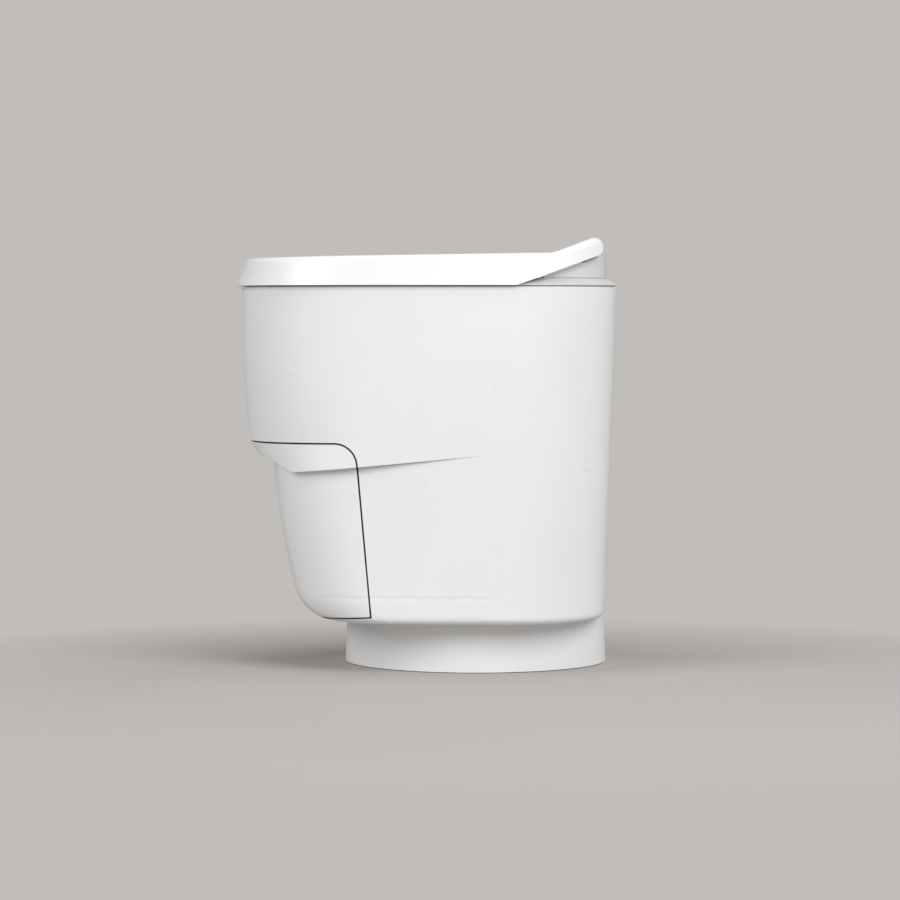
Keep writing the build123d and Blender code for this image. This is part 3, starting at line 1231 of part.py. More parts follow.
def seat_hole(grow, z0, z1):
    return rounded(SEAT_OPENING_WIDTH + 2 * grow, SEAT_OPENING_LENGTH + 2 * grow,
                   SEAT_OPENING_CORNER + grow, BOWL_Y, z0, z1)


def seat():
    body = seat_outer(SEAT_BOTTOM, SEAT_TOP, 0) - seat_hole(0, SEAT_BOTTOM - 1, SEAT_TOP + 1)
    top = body.edges().filter_by_position(Axis.Z, SEAT_TOP - 0.01, SEAT_TOP + 0.01)
    body = fillet(top, SEAT_ROUND)
    room = seat_outer(SEAT_BOTTOM - 1, SEAT_TOP - SEAT_SKIN, SEAT_SKIN)
    room = room - seat_hole(SEAT_SKIN, SEAT_BOTTOM - 2, SEAT_TOP + 1)
    rib = box(0, 260, -1.2, 1.2, SEAT_BOTTOM, SEAT_TOP)
    for i in range(SEAT_RIBS):
        room = room - Pos(0, BOWL_Y, 0) * Rot(0, 0, 360 * (i + 0.5) / SEAT_RIBS) * rib
    for x, y in seat_buffer_places():
        room = room - rod_z(BUFFER_RADIUS + 1.5, SEAT_BOTTOM - 2, SEAT_TOP, x, y)
    body = body - room
    arm = seat_arm()
    body = body + both_sides(arm)
    bore = rod_x(PIN_RADIUS + RUN, SEAT_KNUCKLE_X - 1, SEAT_KNUCKLE_X + SEAT_KNUCKLE + 1, HINGE_Y, HINGE_Z)
    return body - both_sides(bore)


def seat_arm():
    low = HINGE_ROLL + CONSOLE_GAP - SEAT_ARM_LIFT
    high = low - SEAT_ARM_THICKNESS
    a = radians(WEDGE_ANGLE)
    y0 = SEAT_REAR - SEAT_SKIN
    near = (HINGE_Y - SEAT_ARM_START * cos(a) + low * sin(a), HINGE_Z - SEAT_ARM_START * sin(a) - low * cos(a))
    points = [(y0, wedge_z(y0, low)), near, (HINGE_Y, HINGE_Z), (HINGE_Y, wedge_z(HINGE_Y, high)),
              (y0, wedge_z(y0, high))]
    x0, x1 = SEAT_KNUCKLE_X, SEAT_KNUCKLE_X + SEAT_KNUCKLE
    return side_prism(points, x0, x1) + rod_x(KNUCKLE_RADIUS, x0, x1, HINGE_Y, HINGE_Z)


def seat_buffer_places():
    x = SEAT_OPENING_WIDTH / 2 + 30
    return [(-x, -30), (x, -30), (-x + 26, -180), (x - 26, -180)]


def seat_buffers():
    return group(*[rod_z(BUFFER_RADIUS, FRAME_SEAT, SEAT_BOTTOM, x, y) for x, y in seat_buffer_places()])


# Lid: outline and side profile, for the outside or, with a wall taken off, for the inside
def lid_lofted(inset):
    z0, z1 = LID_BOTTOM, HINGE_Z + 14
    rise = z1 - z0
    side = LID_OVERHANG - rise * tan(radians(LID_SIDE_LEAN))
    front = LID_FRONT_OVERHANG - rise * tan(radians(LID_FRONT_LEAN))
    low = plan(z0, BODY_HALF_WIDTH + LID_OVERHANG, BODY_REAR + LID_OVERHANG,
               BODY_FRONT + LID_FRONT_OVERHANG, inset, REAR_CORNER + LID_OVERHANG,
               FRONT_CORNER + LID_OVERHANG)
    high = plan(z1, BODY_HALF_WIDTH + side, BODY_REAR + side, BODY_FRONT + front, inset,
                REAR_CORNER + side, FRONT_CORNER + side)
    return loft([low, high], ruled=True)


def lid_profile(wall):
    front = -BODY_FRONT - 20
    a = radians(WEDGE_ANGLE)
    r = HINGE_ROLL - wall
    bend = (LID_BEND, BODY_TOP + LID_BEND_HEIGHT - wall)
    to_axis = hypot(HINGE_Y - bend[0], HINGE_Z - bend[1])
    lean = acos(r / to_axis)
    toward = Vector(bend[0] - HINGE_Y, bend[1] - HINGE_Z).normalized()
    c, s = cos(-lean), sin(-lean)
    touch = (HINGE_Y + r * (toward.X * c - toward.Y * s), HINGE_Z + r * (toward.X * s + toward.Y * c))
    under = (HINGE_Y + r * sin(a), HINGE_Z - r * cos(a))
    bottom = LID_BOTTOM + wall
    corner = under[0] - (under[1] - bottom) / tan(a)
    points = [(front, bottom), (corner, bottom), under, (HINGE_Y, HINGE_Z), touch, bend,
              (front, bend[1] + (front - bend[0]) * LID_TOP_SLOPE)]
    face = make_face(Polyline(*points, close=True))
    face = fillet([v for v in face.vertices() if abs(v.X - bend[0]) < 0.1], LID_BEND_ROUND)
    return face + Pos(HINGE_Y, HINGE_Z) * Circle(r)


def lid_inside():
    face = lid_profile(LID_WALL)
    a = radians(CURL_END)
    end = (HINGE_Y + 15 * cos(a), HINGE_Z + 15 * sin(a))
    low, front = BODY_TOP - 30, -BODY_FRONT - 20
    opening = make_face(Polyline((HINGE_Y, HINGE_Z), end, (end[0], low), (front, low),
                                 (front, LID_BOTTOM + 12), (30, LID_BOTTOM + 12), close=True))
    face = face + opening
    cut = extrude(Plane.YZ * face, amount=300, dir=(1, 0, 0), both=True)
    return lid_lofted(LID_WALL) & cut


def curl_cut(x0, x1, end):
    a, b = radians(CURL_END - 8), radians(end)
    middle = (a + b) / 2
    far = 24.0
    points = [(HINGE_Y, HINGE_Z)]
    points += [(HINGE_Y + far * cos(t), HINGE_Z + far * sin(t)) for t in (a, middle, b)]
    return both_sides(side_prism(points, x0, x1))


# The space between the lid's sloping underside and the console, as a side profile
def lid_underside():
    a = radians(WEDGE_ANGLE)
    rear = HINGE_Y + HINGE_ROLL
    under = (HINGE_Y + HINGE_ROLL * sin(a), HINGE_Z - HINGE_ROLL * cos(a))
    corner = under[0] - (under[1] - LID_BOTTOM) / tan(a)
    points = [(corner, LID_BOTTOM), (rear, LID_BOTTOM), (rear, HINGE_Z), (HINGE_Y, HINGE_Z), under]
    return make_face(Polyline(*points, close=True)) - Pos(HINGE_Y, HINGE_Z) * Circle(HINGE_ROLL)


def lid():
    under = extrude(Plane.YZ * lid_underside(), amount=300, dir=(1, 0, 0), both=True)
    profile = extrude(Plane.YZ * lid_profile(0), amount=300, dir=(1, 0, 0), both=True) + under
    body = lid_lofted(0) & profile
    body = round_top(body) - under
    body = body - lid_inside()
    for x in (LID_KNUCKLE_A, LID_KNUCKLE_B):
        knuckle = rod_x(HINGE_ROLL - LID_WALL / 2, x, x + LID_KNUCKLE, HINGE_Y, HINGE_Z)
        body = body + both_sides(knuckle)
    play = KNUCKLE_PLAY
    for x in (EAR_INNER, EAR_OUTER):
        body = body - curl_cut(x - play, x + EAR_THICKNESS + play, EAR_SLOT_END)
    body = body - curl_cut(SEAT_KNUCKLE_X - play, SEAT_KNUCKLE_X + SEAT_KNUCKLE + play, ARM_SLOT_END)
    bore = rod_x(PIN_RADIUS + RUN, EAR_INNER - 5, EAR_OUTER + EAR_THICKNESS + 5, HINGE_Y, HINGE_Z)
    return body - both_sides(bore)


def round_top(body):
    rim = []
    for e in body.edges():
        c = e.center()
        top = BODY_TOP + LID_BEND_HEIGHT + (c.Y - LID_BEND) * LID_TOP_SLOPE
        if c.Y < LID_BEND - 20 and abs(c.Z - top) < 1.5 and e.length > 20:
            rim.append(e)
    return fillet(rim, LID_ROUND)


def lid_buffers():
    room = lid_inside()
    pads = [rod_z(BUFFER_RADIUS, SEAT_TOP + SLIP, SEAT_TOP + 20, x, y) & room for x, y in seat_buffer_places()]
    return group(*pads)


# Control panel on the left side, its buttons and the power inlet
def fascia():
    face, back = -FASCIA_X, -FASCIA_X + FASCIA_DEPTH
    body = fascia_outline(0, face, back)
    inner_wall = -half_at(FASCIA_Z - FASCIA_HEIGHT / 2) + BODY_WALL
    body = body + fascia_outline(3, inner_wall + 0.9, back)
    body = body - fascia_outline(-2, face + FASCIA_SKIN, back + 1)
    for y in button_places():
        body = body - rod_x(BUTTON_RADIUS + BUTTON_PLAY, face - 1, back, y, FASCIA_Z)
    return body - rod_x(LENS_RADIUS, face - 1, back, FASCIA_SETBACK, FASCIA_Z)


def button_places():
    return (FASCIA_SETBACK - BUTTON_SPACING / 2, FASCIA_SETBACK + BUTTON_SPACING / 2)


def button(y):
    face = -FASCIA_X - BUTTON_PROUD
    rest = -FASCIA_X + FASCIA_SKIN
    cap = rod_x(BUTTON_RADIUS, face, rest + 1.2, y, FASCIA_Z)
    edges = cap.edges().filter_by_position(Axis.X, face - 0.01, face + 0.01)
    cap = chamfer(edges, 0.6)
    flange = rod_x(BUTTON_RADIUS + 1.2, rest + RUN, rest + 1.2, y, FASCIA_Z)
    return cap + flange


def dome(y):
    x0 = -FASCIA_X + FASCIA_SKIN + 1.2
    x1 = -FASCIA_X + FASCIA_DEPTH
    points = [(x0, 0), (x0, 2.5), (x1 - 0.8, 5.5), (x1 - 0.8, 7.0), (x1, 7.0), (x1, 5.0), (x1 - 0.9, 4.9),
              (x0 + 1.2, 1.6), (x0 + 1.2, 0)]
    shape = revolve(Plane.XY * make_face(Polyline(*points, close=True)), Axis.X)
    return Pos(0, y, FASCIA_Z) * shape


def switch_board():
    x0 = -FASCIA_X + FASCIA_DEPTH
    return fascia_outline(2, x0, x0 + BOARD_THICKNESS)


def status_lens():
    face = -FASCIA_X - 0.3
    return rod_x(LENS_RADIUS, face, -FASCIA_X + FASCIA_DEPTH, FASCIA_SETBACK, FASCIA_Z)


def power_inlet(outer, inner):
    y = rear_at(INLET_Z)
    body = rod_y(INLET_RADIUS, y - 16, y + 2, 0, INLET_Z) & outer
    nut = rod_y(INLET_RADIUS + 4, y - BODY_WALL - 5, y, 0, INLET_Z) & inner
    body = body + largest(nut)
    body = body - rod_y(INLET_RADIUS - 4, y - 8, y + 4, 0, INLET_Z)
    return body + rod_y(1.2, y - 9, y, 0, INLET_Z)


def control_board():
    y0 = BOARD_SETBACK - BOARD_THICKNESS
    x, z = BOARD_WIDTH / 2, DECK_TOP + 6
    body = box(-x, x, y0, BOARD_SETBACK, z, z + BOARD_HEIGHT)
    parts = [(-46, -26, 14, 36, 9), (-18, 10, 8, 24, 4), (16, 30, 30, 50, 12), (36, 50, 8, 44, 8)]
    for x0, x1, z0, z1, deep in parts:
        body = body + box(x0, x1, y0 - deep, y0, z + z0, z + z1)
    return body


def main():
    outer = body_form(0)
    inner = body_form(BODY_WALL)
    inner_drawer = body_form(DRAWER_WALL)
    nodes = {
        "pedestal": pedestal(),
        "foot_ring": foot_ring(),
        "slide_ring": slide_ring(),
        "hub_retainer": hub_retainer(),
        "turntable": turntable(),
        "turntable_screws": turntable_screws(),
        "stop_pin": stop_pin(),
        "body_shell": body_shell(outer, inner),
        "drawer_front": drawer_front(outer, inner_drawer),
        "front_screws": front_screws(),
        "carriage": carriage(),
        "container": container(),
        "runner_outer": runner_outer(),
        "runner_middle": runner_middle(),
        "runner_inner": runner_inner(),
        "runner_brackets": runner_brackets(),
        "catch_magnets": catch_magnets(),
        "catch_plates": catch_plates(),
        "deck": deck(),
        "deck_screws": deck_screws(),
        "side_plates": side_plates(),
        "cross_members": cross_members(),
        "guide_rods": guide_rods(),
        "front_jaw": front_jaw(),
        "rear_jaw": rear_jaw(),
        "heater_strip": sealing_strip(FRONT_FACE, 1),
        "counter_pad": sealing_strip(REAR_FACE, -1),
        "front_roller": draw_roller(FRONT_ROLLER_Y),
        "rear_roller": draw_roller(REAR_ROLLER_Y),
        "jaw_shaft": jaw_shaft(),
        "jaw_pinions": jaw_pinions(),
        "drive_wheel": drive_wheel(),
        "shaft_bushes": shaft_bushes(),
        "motor_bracket": motor_bracket(),
        "jaw_motor": jaw_motor(),
        "motor_pinion": motor_pinion(),
        "funnel": funnel(),
        "funnel_screws": funnel_screws(),
        "cassette": cassette(),
        "film_pack": film_pack(),
        "clamp_ring": clamp_ring(),
        "film_liner": film_liner(),
        "top_frame": top_frame(),
        "console": console(),
        "hinge_pins": hinge_pins(),
        "seat": seat(),
        "seat_buffers": seat_buffers(),
        "lid": lid(),
        "lid_buffers": lid_buffers(),
        "fascia": fascia(),
        "button_front": button(button_places()[0]),
        "button_rear": button(button_places()[1]),
        "dome_front": dome(button_places()[0]),
        "dome_rear": dome(button_places()[1]),
        "switch_board": switch_board(),
        "status_lens": status_lens(),
        "power_inlet": power_inlet(outer, inner),
        "control_board": control_board(),
    }
    os.makedirs("parts", exist_ok=True)
    for name, shape in nodes.items():
        export_step(shape, f"parts/{name}.step")


main()
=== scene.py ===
"""Looks of the sealing toilet: camera, materials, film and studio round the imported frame"""

import math

import bmesh
import bpy
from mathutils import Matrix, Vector


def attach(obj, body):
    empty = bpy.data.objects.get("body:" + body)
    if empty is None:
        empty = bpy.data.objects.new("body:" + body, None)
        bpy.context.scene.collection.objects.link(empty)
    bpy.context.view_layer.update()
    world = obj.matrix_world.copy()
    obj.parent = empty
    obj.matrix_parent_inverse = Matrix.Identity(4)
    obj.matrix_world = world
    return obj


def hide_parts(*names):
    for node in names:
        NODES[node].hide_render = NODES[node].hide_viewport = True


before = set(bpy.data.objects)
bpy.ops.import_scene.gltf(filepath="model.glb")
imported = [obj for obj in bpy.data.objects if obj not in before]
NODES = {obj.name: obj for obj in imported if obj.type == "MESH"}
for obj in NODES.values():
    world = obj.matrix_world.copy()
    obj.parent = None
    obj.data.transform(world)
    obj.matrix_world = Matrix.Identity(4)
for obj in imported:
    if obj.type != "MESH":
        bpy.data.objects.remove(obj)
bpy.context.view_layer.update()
SCENE = bpy.context.scene


# ---------------------------------------------------------------- camera

EYE = Vector((3.717, -0.02806, 0.3838))
FOCAL = 135.63
PITCH = math.radians(2.358)


def make_camera():
    """Side view from eye level just under the lid, tipped slightly down"""
    data = bpy.data.cameras.new("camera")
    data.lens = FOCAL
    data.sensor_width = 36.0
    data.clip_start = 0.05
    data.clip_end = 60.0
    camera = bpy.data.objects.new("camera", data)
    SCENE.collection.objects.link(camera)
    camera.location = EYE
    camera.rotation_euler = (math.radians(90) - PITCH, 0.0, math.radians(90))
    SCENE.camera = camera


# ---------------------------------------------------------------- material graph

class Graph:
    """A material with short calls for the nodes that the finishes here share"""

    def __init__(self, name):
        self.material = bpy.data.materials.new(name)
        self.material.use_nodes = True
        self.tree = self.material.node_tree
        self.shader = self.tree.nodes["Principled BSDF"]
        self.place = self.add("ShaderNodeTexCoord").outputs["Object"]

    def add(self, kind, **settings):
        node = self.tree.nodes.new(kind)
        for key, value in settings.items():
            setattr(node, key, value)
        return node

    def link(self, source, target):
        self.tree.links.new(source, target)

    def set(self, **values):
        for key, value in values.items():
            socket = self.shader.inputs[key.replace("_", " ")]
            if hasattr(value, "is_output"):
                self.link(value, socket)
            else:
                socket.default_value = value

    def stretched(self, scale):
        node = self.add("ShaderNodeMapping")
        node.inputs["Scale"].default_value = scale
        self.link(self.place, node.inputs["Vector"])
        return node.outputs["Vector"]

    def noise(self, scale, detail=3.0, rough=0.5, stretch=None, distortion=0.0):
        node = self.add("ShaderNodeTexNoise")
        node.inputs["Scale"].default_value = scale
        node.inputs["Detail"].default_value = detail
        node.inputs["Roughness"].default_value = rough
        node.inputs["Distortion"].default_value = distortion
        self.link(self.stretched(stretch) if stretch else self.place, node.inputs["Vector"])
        return node.outputs["Fac"]

    def range(self, value, low, high, start=0.3, end=0.7):
        node = self.add("ShaderNodeMapRange")
        self.link(value, node.inputs["Value"])
        node.inputs["From Min"].default_value = start
        node.inputs["From Max"].default_value = end
        node.inputs["To Min"].default_value = low
        node.inputs["To Max"].default_value = high
        return node.outputs["Result"]

    def blend(self, factor, first, second):
        node = self.add("ShaderNodeMix", data_type="RGBA")
        self.link(factor, node.inputs[0])
        for socket, colour in ((node.inputs[6], first), (node.inputs[7], second)):
            if hasattr(colour, "is_output"):
                self.link(colour, socket)
            else:
                socket.default_value = (*colour, 1.0)
        return node.outputs[2]

    def math(self, operation, first, second):
        node = self.add("ShaderNodeMath", operation=operation)
        for socket, value in zip(node.inputs, (first, second)):
            if hasattr(value, "is_output"):
                self.link(value, socket)
            else:
                socket.default_value = value
        return node.outputs[0]

    def bump(self, height, distance, strength=1.0, under=None):
        node = self.add("ShaderNodeBump")
        node.inputs["Distance"].default_value = distance
        node.inputs["Strength"].default_value = strength
        self.link(height, node.inputs["Height"])
        if under is not None:
            self.link(under, node.inputs["Normal"])
        return node.outputs["Normal"]


def tint(colour, factor):
    return tuple(c * factor for c in colour)


def moulded(name, colour, rough, grain=0.00003, grain_scale=900.0):
    """Injection-moulded plastic: slow colour drift, fine mould grain and a faint waviness"""
    g = Graph(name)
    drift = g.range(g.noise(7.0, 3.0), 0.0, 1.0)
    shade = g.blend(drift, tint(colour, 0.975), tint(colour, 1.015))
    specks = g.range(g.noise(420.0, 2.0), 0.0, 0.015, 0.62, 0.8)
    g.set(Base_Color=g.blend(specks, shade, tint(colour, 0.8)))
    g.set(Roughness=g.range(g.noise(22.0, 4.0, 0.6), *rough))
    slow = g.bump(g.noise(16.0, 1.0), 0.00025, 0.35)
    g.set(Normal=g.bump(g.noise(grain_scale, 2.0), grain, 0.6, slow))
    return g.material


def metal(name, colour, rough, stretch=(60.0, 4.0, 60.0), spots=0.0):
    """Metal with brushed or milled lines and patches of duller surface"""
    g = Graph(name)
    lines = g.noise(40.0, 6.0, 0.7, stretch)
    patches = g.noise(30.0, 5.0, 0.65)
    shade = g.blend(g.range(patches, 0.0, 1.0), tint(colour, 0.86), tint(colour, 1.06))
    if spots:
        grain = g.range(g.noise(160.0, 4.0, 0.7), 0.0, spots, 0.45, 0.7)
        shade = g.blend(grain, shade, tint(colour, 0.62))
    g.set(Base_Color=shade, Metallic=1.0)
    mixed = g.math("ADD", g.math("MULTIPLY", lines, 0.5), g.math("MULTIPLY", patches, 0.5))
    g.set(Roughness=g.range(mixed, *rough))
    g.set(Normal=g.bump(lines, 0.00002, 0.5))
    return g.material


def rubbery(name, colour, rough=(0.62, 0.82), dust=0.06):
    """Soft rubber or silicone: fine pores and a little dust"""
    g = Graph(name)
    dusty = g.range(g.noise(55.0, 6.0, 0.7), 0.0, dust, 0.4, 0.7)
    g.set(Base_Color=g.blend(dusty, colour, (0.5, 0.49, 0.47)))
    g.set(Roughness=g.range(g.noise(90.0, 4.0), *rough))
    g.set(Normal=g.bump(g.noise(1200.0, 3.0), 0.00005, 0.7))
    return g.material


def board_finish():
    """Circuit board: green lacquer over a lattice of copper lines"""
    g = Graph("board")
    cells = g.add("ShaderNodeTexVoronoi", distance="CHEBYCHEV", feature="F1")
    cells.inputs["Scale"].default_value = 260.0
    g.link(g.place, cells.inputs["Vector"])
    lines = g.range(cells.outputs["Distance"], 0.0, 1.0, 0.42, 0.47)
    shade = g.blend(lines, (0.014, 0.12, 0.05), (0.03, 0.24, 0.1))
    g.set(Base_Color=shade, Roughness=g.range(g.noise(80.0), 0.25, 0.4))
    g.set(Normal=g.bump(lines, 0.00004, 0.8))
    return g.material


def film_finish():
    """Thin milky film: partly see-through, with soft creases"""
    g = Graph("film")
    cloud = g.range(g.noise(60.0, 5.0, 0.6), 0.0, 1.0)
    g.set(Base_Color=g.blend(cloud, (0.78, 0.8, 0.82), (0.86, 0.87, 0.88)))
    g.set(Roughness=g.range(g.noise(120.0, 4.0), 0.18, 0.34))
    g.set(Alpha=0.82)
    creases = g.noise(38.0, 5.0, 0.62, (1.0, 1.0, 0.35), 0.8)
    g.set(Normal=g.bump(creases, 0.0012, 0.7))
    return g.material


def lens_finish():
    """Light guide of clear tinted plastic"""
    g = Graph("lens")
    g.set(Base_Color=(0.5, 0.85, 0.58, 1.0), Transmission_Weight=0.7, IOR=1.49)
    g.set(Roughness=g.range(g.noise(200.0), 0.12, 0.22))
    g.set(Normal=g.bump(g.noise(600.0), 0.00003, 0.5))
    return g.material


WHITE = (0.80, 0.80, 0.80)

FINISHES = {
    "white_plastic": moulded("white_plastic", WHITE, (0.27, 0.36)),
    "grey_plastic": moulded("grey_plastic", (0.66, 0.66, 0.655), (0.32, 0.42)),
    "dark_plastic": moulded("dark_plastic", (0.035, 0.036, 0.04), (0.42, 0.58), 0.00006, 700.0),
    "frame_plastic": moulded("frame_plastic", (0.72, 0.715, 0.70), (0.42, 0.55), 0.00006, 700.0),
    "container_plastic": moulded(
        "container_plastic", (0.09, 0.10, 0.115), (0.45, 0.6), 0.00007, 600.0),
    "steel": metal("steel", (0.56, 0.565, 0.575), (0.24, 0.42), spots=0.35),
    "aluminium": metal("aluminium", (0.68, 0.69, 0.71), (0.2, 0.36), (6.0, 70.0, 70.0)),
    "magnet": metal("magnet", (0.5, 0.5, 0.52), (0.12, 0.22), (1.0, 1.0, 1.0)),
    "heater": metal("heater", (0.42, 0.27, 0.1), (0.3, 0.45), (3.0, 90.0, 90.0)),
    "brass": metal("brass", (0.62, 0.45, 0.17), (0.18, 0.34), (40.0, 10.0, 10.0)),
    "rubber": rubbery("rubber", (0.018, 0.018, 0.019)),
    "silicone": rubbery("silicone", (0.62, 0.61, 0.58), (0.45, 0.6), 0.03),
    "film": film_finish(),
    "board": board_finish(),
    "lens": lens_finish(),
}


def dress_all():
    """Gives each CAD node the finish of its material slot"""
    for node in NODES.values():
        materials = node.data.materials
        finish = FINISHES[materials[0].name.split(".")[0]]
        for index in range(len(materials)):
            materials[index] = finish


# ---------------------------------------------------------------- film

BOWL_Y, SEAL_Y = -0.084, -0.072
FILM_TOP = 0.4078

# The hanging tube from top to seam: width, length, corner radius, middle, height, share of the folds
LINER_STATIONS = (
    (0.2196, 0.2696, 0.1028, BOWL_Y, FILM_TOP, 0.0),
    (0.2160, 0.2660, 0.1010, BOWL_Y, FILM_TOP + 0.0001, 0.0),
    (0.2134, 0.2634, 0.0997, BOWL_Y, FILM_TOP - 0.0008, 0.0),
    (0.2124, 0.2624, 0.0992, BOWL_Y, FILM_TOP - 0.0026, 0.0),
    (0.2122, 0.2622, 0.0991, BOWL_Y, 0.3990, 0.06),
    (0.2120, 0.2620, 0.0990, BOWL_Y, 0.3856, 0.25),
    (0.1982, 0.0882, 0.0391, SEAL_Y, 0.3150, 1.0),
    (0.1790, 0.0030, 0.0012, SEAL_Y, 0.2962, 0.05),
    (0.1784, 0.0012, 0.0005, SEAL_Y, 0.2950, 0.0),
)
LINER_ROWS = (1, 2, 2, 3, 5, 22, 8, 1)
LINER_POINTS = 576
FREE_STRETCH = 5
FOLD_START = 0.25
FOLD_DEPTH = 0.0085
FOLD_DRIFT = 22
FOLD_DROP = 0.25

STORE_POINTS, STORE_LAYERS = 480, 22
STORE_WIDTH, STORE_LENGTH, STORE_CORNER = 0.214, 0.264, 0.100
STORE_LOW, STORE_HIGH = 0.3908, 0.4032
STORE_INNER, STORE_OUTER = 0.0033, 0.0148
STORE_PULL, STORE_LIFT = 0.0006, 0.0002


def rounded_loop(width, length, corner, middle, count):
    """Plan points of a rounded rectangle, the same share of them on every side and corner"""
    points = []
    corner = min(corner, width / 2 - 1e-5, length / 2 - 1e-5)
    sides = count // 8
    x, y = width / 2 - corner, length / 2 - corner
    signs = ((1, 1), (-1, 1), (-1, -1), (1, -1))
    for quarter, (sx, sy) in enumerate(signs):
        start = math.radians(90 * quarter)
        for i in range(sides):
            a = start + math.radians(90) * i / sides
            points.append((sx * x + corner * math.cos(a), sy * y + corner * math.sin(a)))
        nx, ny = signs[(quarter + 1) % 4]
        turn = start + math.radians(90)
        here = (sx * x + corner * math.cos(turn), sy * y + corner * math.sin(turn))
        there = (nx * x + corner * math.cos(turn), ny * y + corner * math.sin(turn))
        for i in range(sides):
            t = i / sides
            points.append((here[0] + (there[0] - here[0]) * t, here[1] + (there[1] - here[1]) * t))
    return [(px, py + middle) for px, py in points]


def inward(loop):
    """Unit directions in plan, square to the loop and towards its inside"""
    count = len(loop)
    made = []
    for i in range(count):
        a, b = loop[i - 1], loop[(i + 1) % count]
        dx, dy = b[0] - a[0], b[1] - a[1]
        size = math.hypot(dx, dy) or 1.0
        made.append((-dy / size, dx / size))
    return made


def ring_mesh(name, rows, finish):
    """Surface through closed rows of points, one below the other"""
    count = len(rows[0])
    verts = [point for row in rows for point in row]
    faces = []
    for r in range(len(rows) - 1):
        for i in range(count):
            j = (i + 1) % count
            faces.append((r * count + i, r * count + j, (r + 1) * count + j, (r + 1) * count + i))
    mesh = bpy.data.meshes.new(name)
    mesh.from_pydata(verts, [], faces)
    mesh.materials.append(finish)
    mesh.polygons.foreach_set("use_smooth", [True] * len(mesh.polygons))
    mesh.update()
    piece = bpy.data.objects.new(name, mesh)
    SCENE.collection.objects.link(piece)
    return piece


def folds(turn, down):
    """Depth of the hanging film's folds, from 0 to 1, at a share of the way round and down"""
    a = 2 * math.pi * turn
    big = 0.5 - 0.5 * math.cos(13 * a + 0.9 * math.sin(2 * a + 1.0) + 0.5 * down)
    small = 0.5 - 0.5 * math.cos(31 * a + 1.4 * math.sin(3 * a + 0.4) - 0.8 * down)
    slack = 0.65 + 0.35 * math.sin(5 * a + 2.1)
    return slack * (0.68 * big ** 1.6 + 0.32 * small ** 1.3)


def liner():
    """Film tube that hangs from the cassette's inner wall down to its sealed seam"""
    rows = []
    for k, parts in enumerate(LINER_ROWS):
        first, last = LINER_STATIONS[k], LINER_STATIONS[k + 1]
        end = parts + 1 if k == len(LINER_ROWS) - 1 else parts
        for i in range(end):
            t = i / parts
            w, l, r, y, z, deep = (p + (q - p) * t for p, q in zip(first, last))
            if k == FREE_STRETCH:
                deep = FOLD_START + (1 - FOLD_START) * math.sin(t * math.pi / 2)
            loop = rounded_loop(w, l, r, y, LINER_POINTS)
            row = []
            for n, ((px, py), (nx, ny)) in enumerate(zip(loop, inward(loop))):
                fold = folds(n / LINER_POINTS, z * FOLD_DRIFT) * deep * FOLD_DEPTH
                row.append((px + nx * fold, py + ny * fold, z - FOLD_DROP * fold * (1 - t)))
            rows.append(row)
    piece = ring_mesh("liner_film", rows, FINISHES["film"])
    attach(piece, "toilet_body")
    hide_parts("film_liner")


def film_store():
    """Spare film, gathered in flat zigzag layers inside the cassette"""
    rows = []
    for k in range(STORE_LAYERS + 1):
        grow = STORE_OUTER if k % 2 else STORE_INNER
        loop = rounded_loop(STORE_WIDTH + 2 * grow, STORE_LENGTH + 2 * grow, STORE_CORNER + grow,
                            BOWL_Y, STORE_POINTS)
        height = STORE_LOW + (STORE_HIGH - STORE_LOW) * k / STORE_LAYERS
        row = []
        for n, ((px, py), (nx, ny)) in enumerate(zip(loop, inward(loop))):
            a = 2 * math.pi * n / STORE_POINTS
            pull = 0.5 + 0.5 * math.sin(23 * a + 1.7 * k) * math.sin(7 * a + 0.9 * k)
            pull *= STORE_PULL
            lift = STORE_LIFT * math.sin(31 * a + 2.3 * k)
            row.append((px + nx * pull, py + ny * pull, height + lift))
        rows.append(row)
    piece = ring_mesh("stored_film", rows, FINISHES["film"])
    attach(piece, "toilet_body")
    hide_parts("film_pack")


# ---------------------------------------------------------------- studio

BACKDROP = (0.533, 0.509, 0.491)
AMBIENT = (0.34, 0.34, 0.34)

# Soft boxes: name, place, point aimed at, side length, power in watts
LIGHTS = (
    ("key", (2.4, 1.7, 2.0), (0.0, 0.05, 0.28), 2.0, 88.0),
    ("fill", (1.9, -2.8, 1.9), (0.0, -0.05, 0.28), 2.0, 66.0),
    ("top", (0.1, 0.2, 2.1), (0.0, 0.0, 0.4), 1.6, 7.0),
)

FLOOR = (0.445, 0.425, 0.41)
FLOOR_RADIUS = 6.0
FLOOR_MIDDLE = (0.28, 0.0, 0.0)
FADE_START, FADE_END = 0.38, 0.80


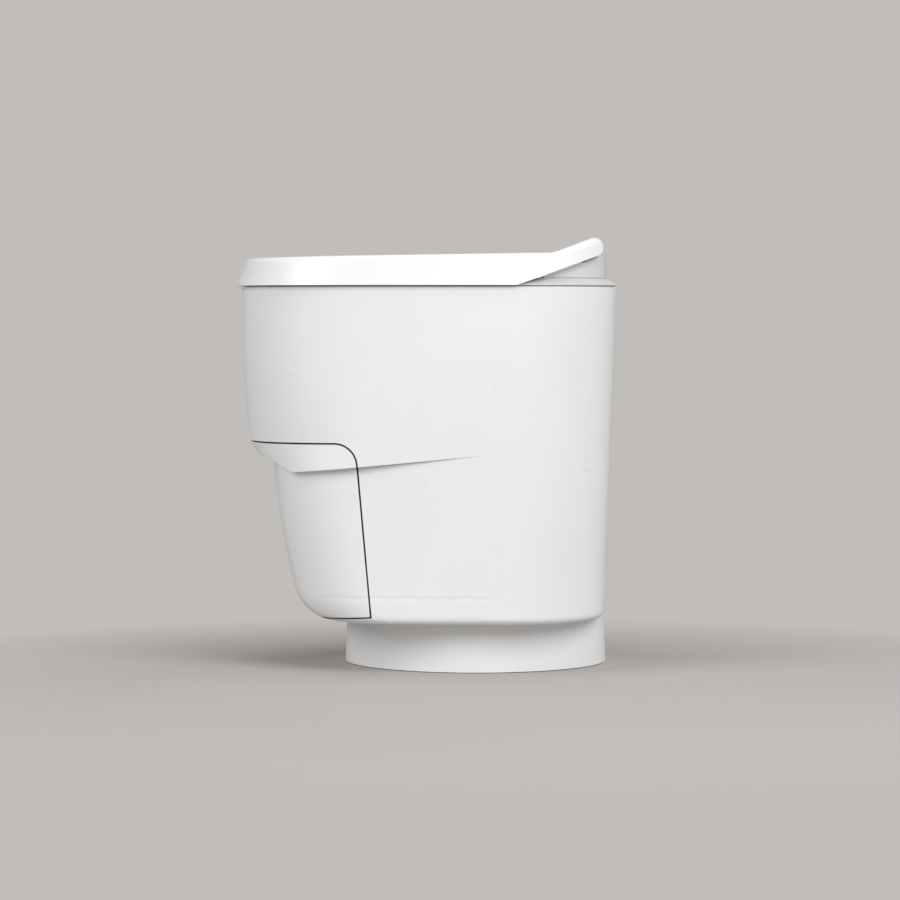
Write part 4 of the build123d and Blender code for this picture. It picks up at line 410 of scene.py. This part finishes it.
def make_floor():
    """Pale floor disc that fades into the backdrop round the object"""
    mesh = bpy.data.meshes.new("floor")
    shape = bmesh.new()
    bmesh.ops.create_circle(shape, cap_ends=True, cap_tris=True, segments=96, radius=FLOOR_RADIUS)
    shape.to_mesh(mesh)
    shape.free()
    floor = bpy.data.objects.new("floor", mesh)
    SCENE.collection.objects.link(floor)
    g = Graph("floor")
    away = g.add("ShaderNodeVectorMath", operation="DISTANCE")
    g.link(g.place, away.inputs[0])
    away.inputs[1].default_value = FLOOR_MIDDLE
    fade = g.range(away.outputs["Value"], 1.0, 0.0, FADE_START, FADE_END)
    drift = g.range(g.noise(3.0, 2.0), 0.0, 1.0)
    g.set(Base_Color=g.blend(drift, tint(FLOOR, 0.995), tint(FLOOR, 1.005)))
    g.set(Roughness=0.9, Specular_IOR_Level=0.0, Alpha=fade)
    g.set(Normal=g.bump(g.noise(300.0, 2.0), 0.0001, 0.3))
    mesh.materials.append(g.material)


def soft_box(name, place, aim, size, power):
    """Square studio light turned to a point"""
    data = bpy.data.lights.new(name, "AREA")
    data.shape = "SQUARE"
    data.size = size
    data.energy = power
    light = bpy.data.objects.new(name, data)
    SCENE.collection.objects.link(light)
    light.location = place
    direction = Vector(aim) - Vector(place)
    light.rotation_euler = direction.to_track_quat("-Z", "Y").to_euler()


def make_world():
    """Plain backdrop for the camera, softer even light for the object"""
    world = bpy.data.worlds.new("studio")
    SCENE.world = world
    world.use_nodes = True
    tree = world.node_tree
    sight = tree.nodes.new("ShaderNodeLightPath")
    shade = tree.nodes.new("ShaderNodeMix")
    shade.data_type = "RGBA"
    shade.inputs[6].default_value = (*AMBIENT, 1.0)
    shade.inputs[7].default_value = (*BACKDROP, 1.0)
    tree.links.new(sight.outputs["Is Camera Ray"], shade.inputs[0])
    tree.links.new(shade.outputs[2], tree.nodes["Background"].inputs["Color"])
    SCENE.view_settings.view_transform = "Standard"


def make_studio():
    make_world()
    make_floor()
    for light in LIGHTS:
        soft_box(*light)


make_camera()
dress_all()
liner()
film_store()
make_studio()
